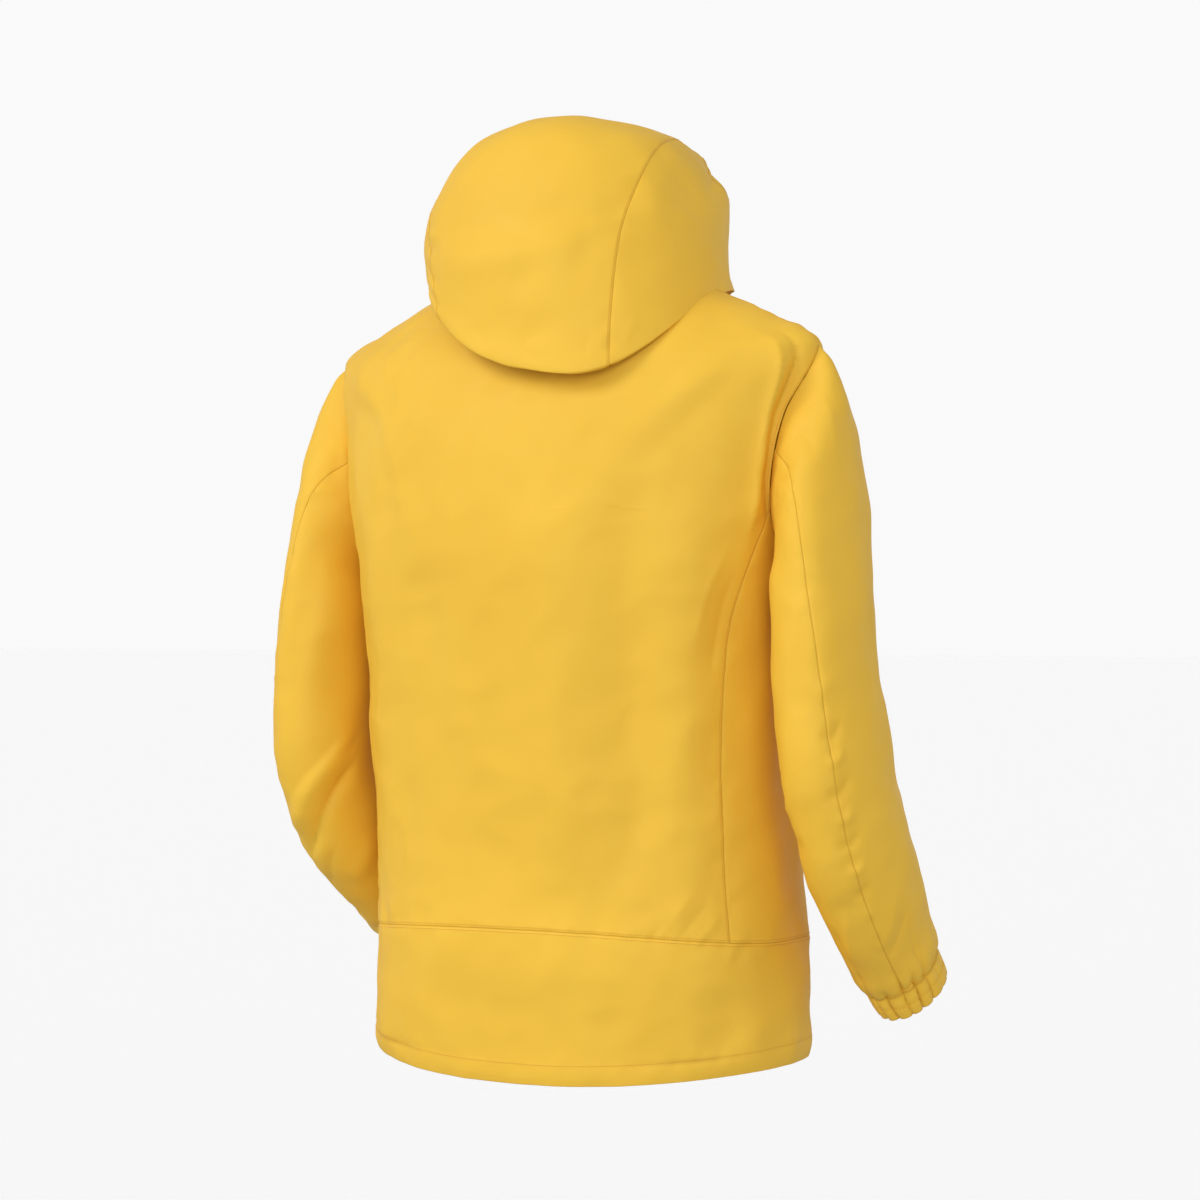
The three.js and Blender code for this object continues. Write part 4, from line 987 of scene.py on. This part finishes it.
# %% The zip's tapes
ZIP_BOTTOM = -690
TAPE_WIDTH = 10
TAPE_THICK = 0.7
zip_levels = np.linspace(ZIP_BOTTOM, NECK, 150)
zip_line = np.concatenate([body(zip_levels, 180), hood(np.linspace(0, ZIP_TOP, 40)[1:], 180)])
zip_run = np.gradient(zip_line, axis=0)
zip_run /= np.linalg.norm(zip_run, axis=1)[:, None]
zip_out = np.stack([0 * zip_run[:, 0], -zip_run[:, 2], zip_run[:, 1]], -1)
for side, name in SIDES:
    out = np.linspace(0.2, TAPE_WIDTH, 9)
    sink = 0.5 + 1.3 * smooth((out - 5.5) / 2)
    outer = zip_line[:, None] * [0, 1, 1] + np.stack([side * out, 0 * out, 0 * out], -1)[None]
    outer = outer - zip_out[:, None] * sink[None, :, None]
    distances = edge_distances(outer)
    uv = np.stack([distances["left"], distances["bottom"]], -1)
    inner = outer - zip_out[:, None] * TAPE_THICK
    obj = shell_mesh(f"cloth_tape_{name}", outer, inner, np.zeros(outer.shape[:2]), uv)
    keep_panel(f"cloth_tape_{name}", obj, outer, None, distances, (TAPE_WIDTH, line_length(zip_line)))


# %% A small shape repeated along a path
def path_object(name, lines):
    """Several open lines of points, in millimetres, in one mesh without faces."""
    edges = []
    start = 0
    for line in lines:
        edges += [(start + k, start + k + 1) for k in range(len(line) - 1)]
        start += len(line)
    mesh = bpy.data.meshes.new(name)
    mesh.from_pydata((np.concatenate(lines) * MM).tolist(), edges, [])
    return add_object(name, mesh)


def spindles_tree():
    """A tree that sets a small spindle again and again along every line, with inputs for its sizes."""
    group = bpy.data.node_groups.new("spindles_along_a_path", "GeometryNodeTree")
    group.interface.new_socket("Geometry", in_out="INPUT", socket_type="NodeSocketGeometry")
    for label in ("Pitch", "Length", "Width", "Height"):
        group.interface.new_socket(label, in_out="INPUT", socket_type="NodeSocketFloat")
    group.interface.new_socket("Geometry", in_out="OUTPUT", socket_type="NodeSocketGeometry")
    new = group.nodes.new
    source = new("NodeGroupInput").outputs
    curve = feed(new("GeometryNodeMeshToCurve"), {"Mesh": source["Geometry"]})
    points = new("GeometryNodeCurveToPoints")
    points.mode = "LENGTH"
    feed(points, {"Curve": curve.outputs["Curve"], "Length": source["Pitch"]})
    three = {"X": source["Width"], "Y": source["Height"], "Z": source["Length"]}
    size = feed(new("ShaderNodeCombineXYZ"), three)
    ball = feed(new("GeometryNodeMeshUVSphere"), {"Segments": 6, "Rings": 5, "Radius": 0.5})
    stretched = {"Geometry": ball.outputs["Mesh"], "Scale": size.outputs["Vector"]}
    spindle = feed(new("GeometryNodeTransform"), stretched)
    shown = feed(new("GeometryNodeInstanceOnPoints"), {
        "Points": points.outputs["Points"],
        "Rotation": points.outputs["Rotation"],
        "Instance": spindle.outputs["Geometry"],
    })
    for step in ("GeometryNodeRealizeInstances", "GeometryNodeSetShadeSmooth", "NodeGroupOutput"):
        shown = feed(new(step), {"Geometry": shown.outputs[0]})
    return group


def set_along(name, lines, sizes, material):
    """Runs the tree on some lines and keeps the result as a plain mesh."""
    guide = path_object(name + "_path", lines)
    modifier = guide.modifiers.new("along", "NODES")
    modifier.node_group = spindles
    for item in spindles.interface.items_tree:
        if item.item_type == "SOCKET" and item.in_out == "INPUT" and item.name in sizes:
            modifier[item.identifier] = sizes[item.name] * MM
    mesh = bpy.data.meshes.new_from_object(guide.evaluated_get(bpy.context.evaluated_depsgraph_get()))
    mesh.name = name
    mesh.materials.clear()
    mesh.materials.append(material)
    bpy.data.objects.remove(guide)
    mesh.calc_loop_triangles()
    print(name, "has", len(mesh.loop_triangles), "triangles")
    return add_object(name, mesh)


spindles = spindles_tree()
print("inputs of the tree:", [item.name for item in spindles.interface.items_tree])

# %% [markdown]
# ## Finishes
# The cloth is a plain weave of fine nylon. Its threads are well under a millimetre, so they show only
# from near by, and what shows from afar is a satin surface, a slight unevenness of the colour and small
# crinkles. The weave follows the cut of each panel through its UV map, as the real threads do. The
# thin dark line of a seam is painted: the thread's colour with painted shade of its groove. How dark a
# point is painted comes from how close it is to the seam, which the panel keeps as an attribute, and the
# same attribute paints shade into the grooves of the cuffs' pleats.


# %% Finish of the cloth
def noise(tree, scale, detail=3.0):
    """Soft random values around a half, fixed to the object."""
    where = tree.nodes.new("ShaderNodeTexCoord").outputs["Object"]
    spots = feed(tree.nodes.new("ShaderNodeTexNoise"), {"Vector": where, "Scale": scale, "Detail": detail})
    return spots.outputs["Fac"]


def between(tree, value, low, high):
    """Noise stretched so that its usual range runs from low to high."""
    stretch = tree.nodes.new("ShaderNodeMapRange")
    feed(stretch, {"Value": value, "From Min": 0.3, "From Max": 0.7, "To Min": low, "To Max": high})
    return stretch.outputs["Result"]


def mix_colours(tree, share, first, second):
    tone = tree.nodes.new("ShaderNodeMix")
    tone.data_type = "RGBA"
    feed(tone, {"Factor": share, "A": first, "B": second})
    return next(each for each in tone.outputs if each.enabled)


def bump(tree, height, distance, strength, below=None):
    relief = tree.nodes.new("ShaderNodeBump")
    feed(relief, {"Height": height, "Distance": distance, "Strength": strength, "Normal": below})
    return relief.outputs["Normal"]


def weave(tree, thread):
    """Threads over and under, as the higher of two crossed waves."""
    place = tree.nodes.new("ShaderNodeTexCoord").outputs["UV"]
    higher = tree.nodes.new("ShaderNodeMath")
    higher.operation = "MAXIMUM"
    for slot, direction in enumerate("XY"):
        wave = tree.nodes.new("ShaderNodeTexWave")
        wave.bands_direction = direction
        feed(wave, {"Vector": place, "Scale": 2 * np.pi / 20 / thread})
        feed(higher, {slot: wave.outputs["Fac"]})
    return higher.outputs[0]


def woven(name, light, dark, thread=0.0006, sheen=0.0, roughness=(0.5, 0.62)):
    """A woven cloth: two near colours, weave and crinkles, and a dark line painted by the seam attribute,
    which is thread colour with painted shade along seams and painted shade in the cuffs' pleats.
    """
    material, tree, shader = new_finish(name)
    seam = tree.nodes.new("ShaderNodeAttribute")
    seam.attribute_name = "seam"
    tone = mix_colours(tree, between(tree, noise(tree, 9.0), 0, 1), light, dark)
    crinkle = bump(tree, noise(tree, 130.0, 4.0), 0.0005, 0.22)
    feed(shader, {
        "Base Color": mix_colours(tree, seam.outputs["Fac"], tone, SEAM_THREAD_AND_GROOVE_SHADE),
        "Roughness": between(tree, noise(tree, 45.0), *roughness),
        "Normal": bump(tree, weave(tree, thread), 0.00005, 0.5, crinkle),
        "Specular IOR Level": 0.2,
        "Sheen Weight": sheen,
        "Sheen Roughness": 0.4,
        "Sheen Tint": (1.0, 0.9, 0.6, 1),
    })
    return material


# Colour painted where the seam attribute is high: the thread with painted shade of the seam's groove, and
# painted shade in the cuffs' pleats.
SEAM_THREAD_AND_GROOVE_SHADE = (0.42, 0.2, 0.01, 1)
cloth_finish = woven("yellow_nylon", (0.87, 0.53, 0.052, 1), (0.84, 0.5, 0.047, 1))
tape_finish = woven(
    "zip_tape_weave", (0.66, 0.34, 0.03, 1), (0.6, 0.3, 0.025, 1),
    thread=0.0012, sheen=0.1, roughness=(0.65, 0.8),
)
thread_finish = woven(
    "yellow_thread", (0.74, 0.39, 0.035, 1), (0.66, 0.33, 0.03, 1),
    thread=0.0004, sheen=0.3, roughness=(0.5, 0.65),
)
print("finishes:", [m.name for m in (cloth_finish, tape_finish, thread_finish)])


# %% Finish of the slider, the pull and the zip's coil
def painted(name, colour, deep, roughness):
    """Paint or plastic, slightly uneven, with the colour worn a little darker in patches."""
    material, tree, shader = new_finish(name)
    patches = noise(tree, 500.0, 4.0)
    feed(shader, {
        "Base Color": mix_colours(tree, between(tree, patches, 0, 1), colour, deep),
        "Roughness": between(tree, patches, roughness, roughness + 0.15),
        "Normal": bump(tree, patches, 0.0001, 0.15),
        "Coat Weight": 0.3,
        "Coat Roughness": 0.2,
    })
    return material


slider_finish = painted("painted_zinc", (0.72, 0.4, 0.05, 1), (0.62, 0.33, 0.04, 1), 0.28)
coil_finish = painted("zip_coil_plastic", (0.62, 0.33, 0.035, 1), (0.52, 0.26, 0.03, 1), 0.4)
for name in ("zip_slider", "zip_pull"):
    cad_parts[name].data.materials.clear()
    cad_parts[name].data.materials.append(slider_finish)
for name, panel in panels.items():
    panel["object"].data.materials.append(tape_finish if name.startswith("cloth_tape") else cloth_finish)
print("slider and pull painted")

# %% [markdown]
# ## Stitching
# A lockstitch seam shows as a row of short raised threads. Rows run beside the curved seams, above and
# below the band's seam, around the hem, the brim and the zip, and round the cuffs. Each stitch is a
# small spindle laid along the row, a little sunk in the cloth. A texture could show such rows from afar,
# but real threads also hold up from near by.


# %% Rows of stitches
OVER_CLOTH = 0.14
BESIDE_CURVE, BESIDE_BAND, BESIDE_ZIP = 2.2, 2.4, 4.0
CUFF_STITCH_ROW = 12
STITCH = {"Pitch": 2.9, "Length": 2.5, "Width": 0.5, "Height": 0.5}


def row_beside(name, edge, distance):
    """A line on a panel at a set distance from one of its edges, just over the cloth."""
    panel = panels[name]
    d = panel["distances"][edge]
    points = panel["outer"] + OVER_CLOTH * panel["normal"]
    if edge in ("bottom", "top"):
        d, points = d.T, points.transpose(1, 0, 2)
    if edge in ("right", "top"):
        d, points = d[:, ::-1], points[:, ::-1]
    line = [[np.interp(distance, away, row[:, axis]) for axis in range(3)] for away, row in zip(d, points)]
    return np.array(line)[d[:, -1] > 2.2 * distance][2:-2]


stitched = [
    ("cloth_band", "top", BESIDE_BAND),
    ("cloth_band", "bottom", HEM_WIDTH),
    ("cloth_back", "bottom", BESIDE_BAND),
    ("cloth_back", "left", BESIDE_CURVE),
    ("cloth_back", "right", BESIDE_CURVE),
    ("cloth_hood", "left", BESIDE_CURVE),
    ("cloth_hood", "right", BESIDE_CURVE),
    ("cloth_hood", "top", HEM_WIDTH),
]
for _, name in SIDES:
    stitched.append((f"cloth_side_{name}", "bottom", BESIDE_BAND))
    stitched.append((f"cloth_front_{name}", "bottom", HEM_WIDTH))
    stitched.append((f"cloth_front_{name}", "right", BESIDE_ZIP))
    stitched.append((f"cloth_hood_{name}", "top", HEM_WIDTH))
    stitched.append((f"cloth_hood_{name}", "right", HEM_WIDTH))
stitch_rows = [row_beside(*row) for row in stitched]
for _, name in SIDES:
    cuff = panels[f"cloth_cuff_{name}"]
    stitch_rows.append((cuff["outer"] + OVER_CLOTH * cuff["normal"])[CUFF_STITCH_ROW])
stitches = set_along("stitches", stitch_rows, STITCH, thread_finish)

# %% The zip's coil
TOOTH = {"Pitch": 1.9, "Length": 1.0, "Width": 2.0, "Height": 1.3}
COIL_ASIDE, COIL_OUT = 0.75, 0.35
teeth_rows = []
for side, start in ((1, 0), (-1, TOOTH["Pitch"] / 2)):
    line = zip_line * [0, 1, 1] + [side * COIL_ASIDE, 0, 0] + COIL_OUT * zip_out
    line[0] += zip_run[0] * start
    teeth_rows.append(line)
coil = set_along("zip_coil", teeth_rows, TOOTH, coil_finish)

# %% [markdown]
# ## Tying the pieces to the jacket
# Every piece rides on the jacket, and each sheet stands for one CAD wall, which then hides. The size
# across and along of each sheet is worked out from the grid of its panel.

# %% Bodies and hidden walls
LEAST_WIDTH_M = 0.0101
STANDS_FOR = {
    "cloth_back": ("back_centre", "shell_back", "hung", []),
    "cloth_band": ("back_lower", "shell_band", "hung", ["cloth_back"]),
    "cloth_hood": ("hood_centre", "shell_hood", "folded", ["cloth_back"]),
}
for _, name in SIDES:
    STANDS_FOR[f"cloth_side_{name}"] = (f"back_side_{name}", "shell_side", "hung", ["cloth_back"])
    STANDS_FOR[f"cloth_front_{name}"] = (f"front_{name}", "shell_front", "hung", ["cloth_back"])
    STANDS_FOR[f"cloth_hood_{name}"] = (f"hood_side_{name}", "shell_hood", "folded", ["cloth_hood"])
    for part in ("upper", "under"):
        node = f"sleeve_{part}_{name}"
        STANDS_FOR[f"cloth_{node}"] = (node, "shell_sleeve", "hung", ["cloth_back"])
    sleeve = [f"cloth_sleeve_upper_{name}"]
    STANDS_FOR[f"cloth_cuff_{name}"] = (f"cuff_{name}", "shell_cuff", "gathered", sleeve)
    STANDS_FOR[f"cloth_tape_{name}"] = (f"zip_tape_{name}", "zip_tape", "hung", [f"cloth_front_{name}"])


for name, (node, slot, held, carried_by) in STANDS_FOR.items():
    panel = panels[name]
    obj = panel["object"]
    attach(obj, "jacket")
    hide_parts(node)
    width, length = [float(size) * MM for size in panel["size"]]
    width = max(width, LEAST_WIDTH_M)
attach(stitches, "jacket")
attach(coil, "jacket")
print(len(STANDS_FOR), "sheets tied to the jacket")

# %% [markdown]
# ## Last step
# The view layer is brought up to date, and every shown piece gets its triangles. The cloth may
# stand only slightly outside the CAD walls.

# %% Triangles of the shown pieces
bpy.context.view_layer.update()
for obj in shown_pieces():
    obj.data.calc_loop_triangles()
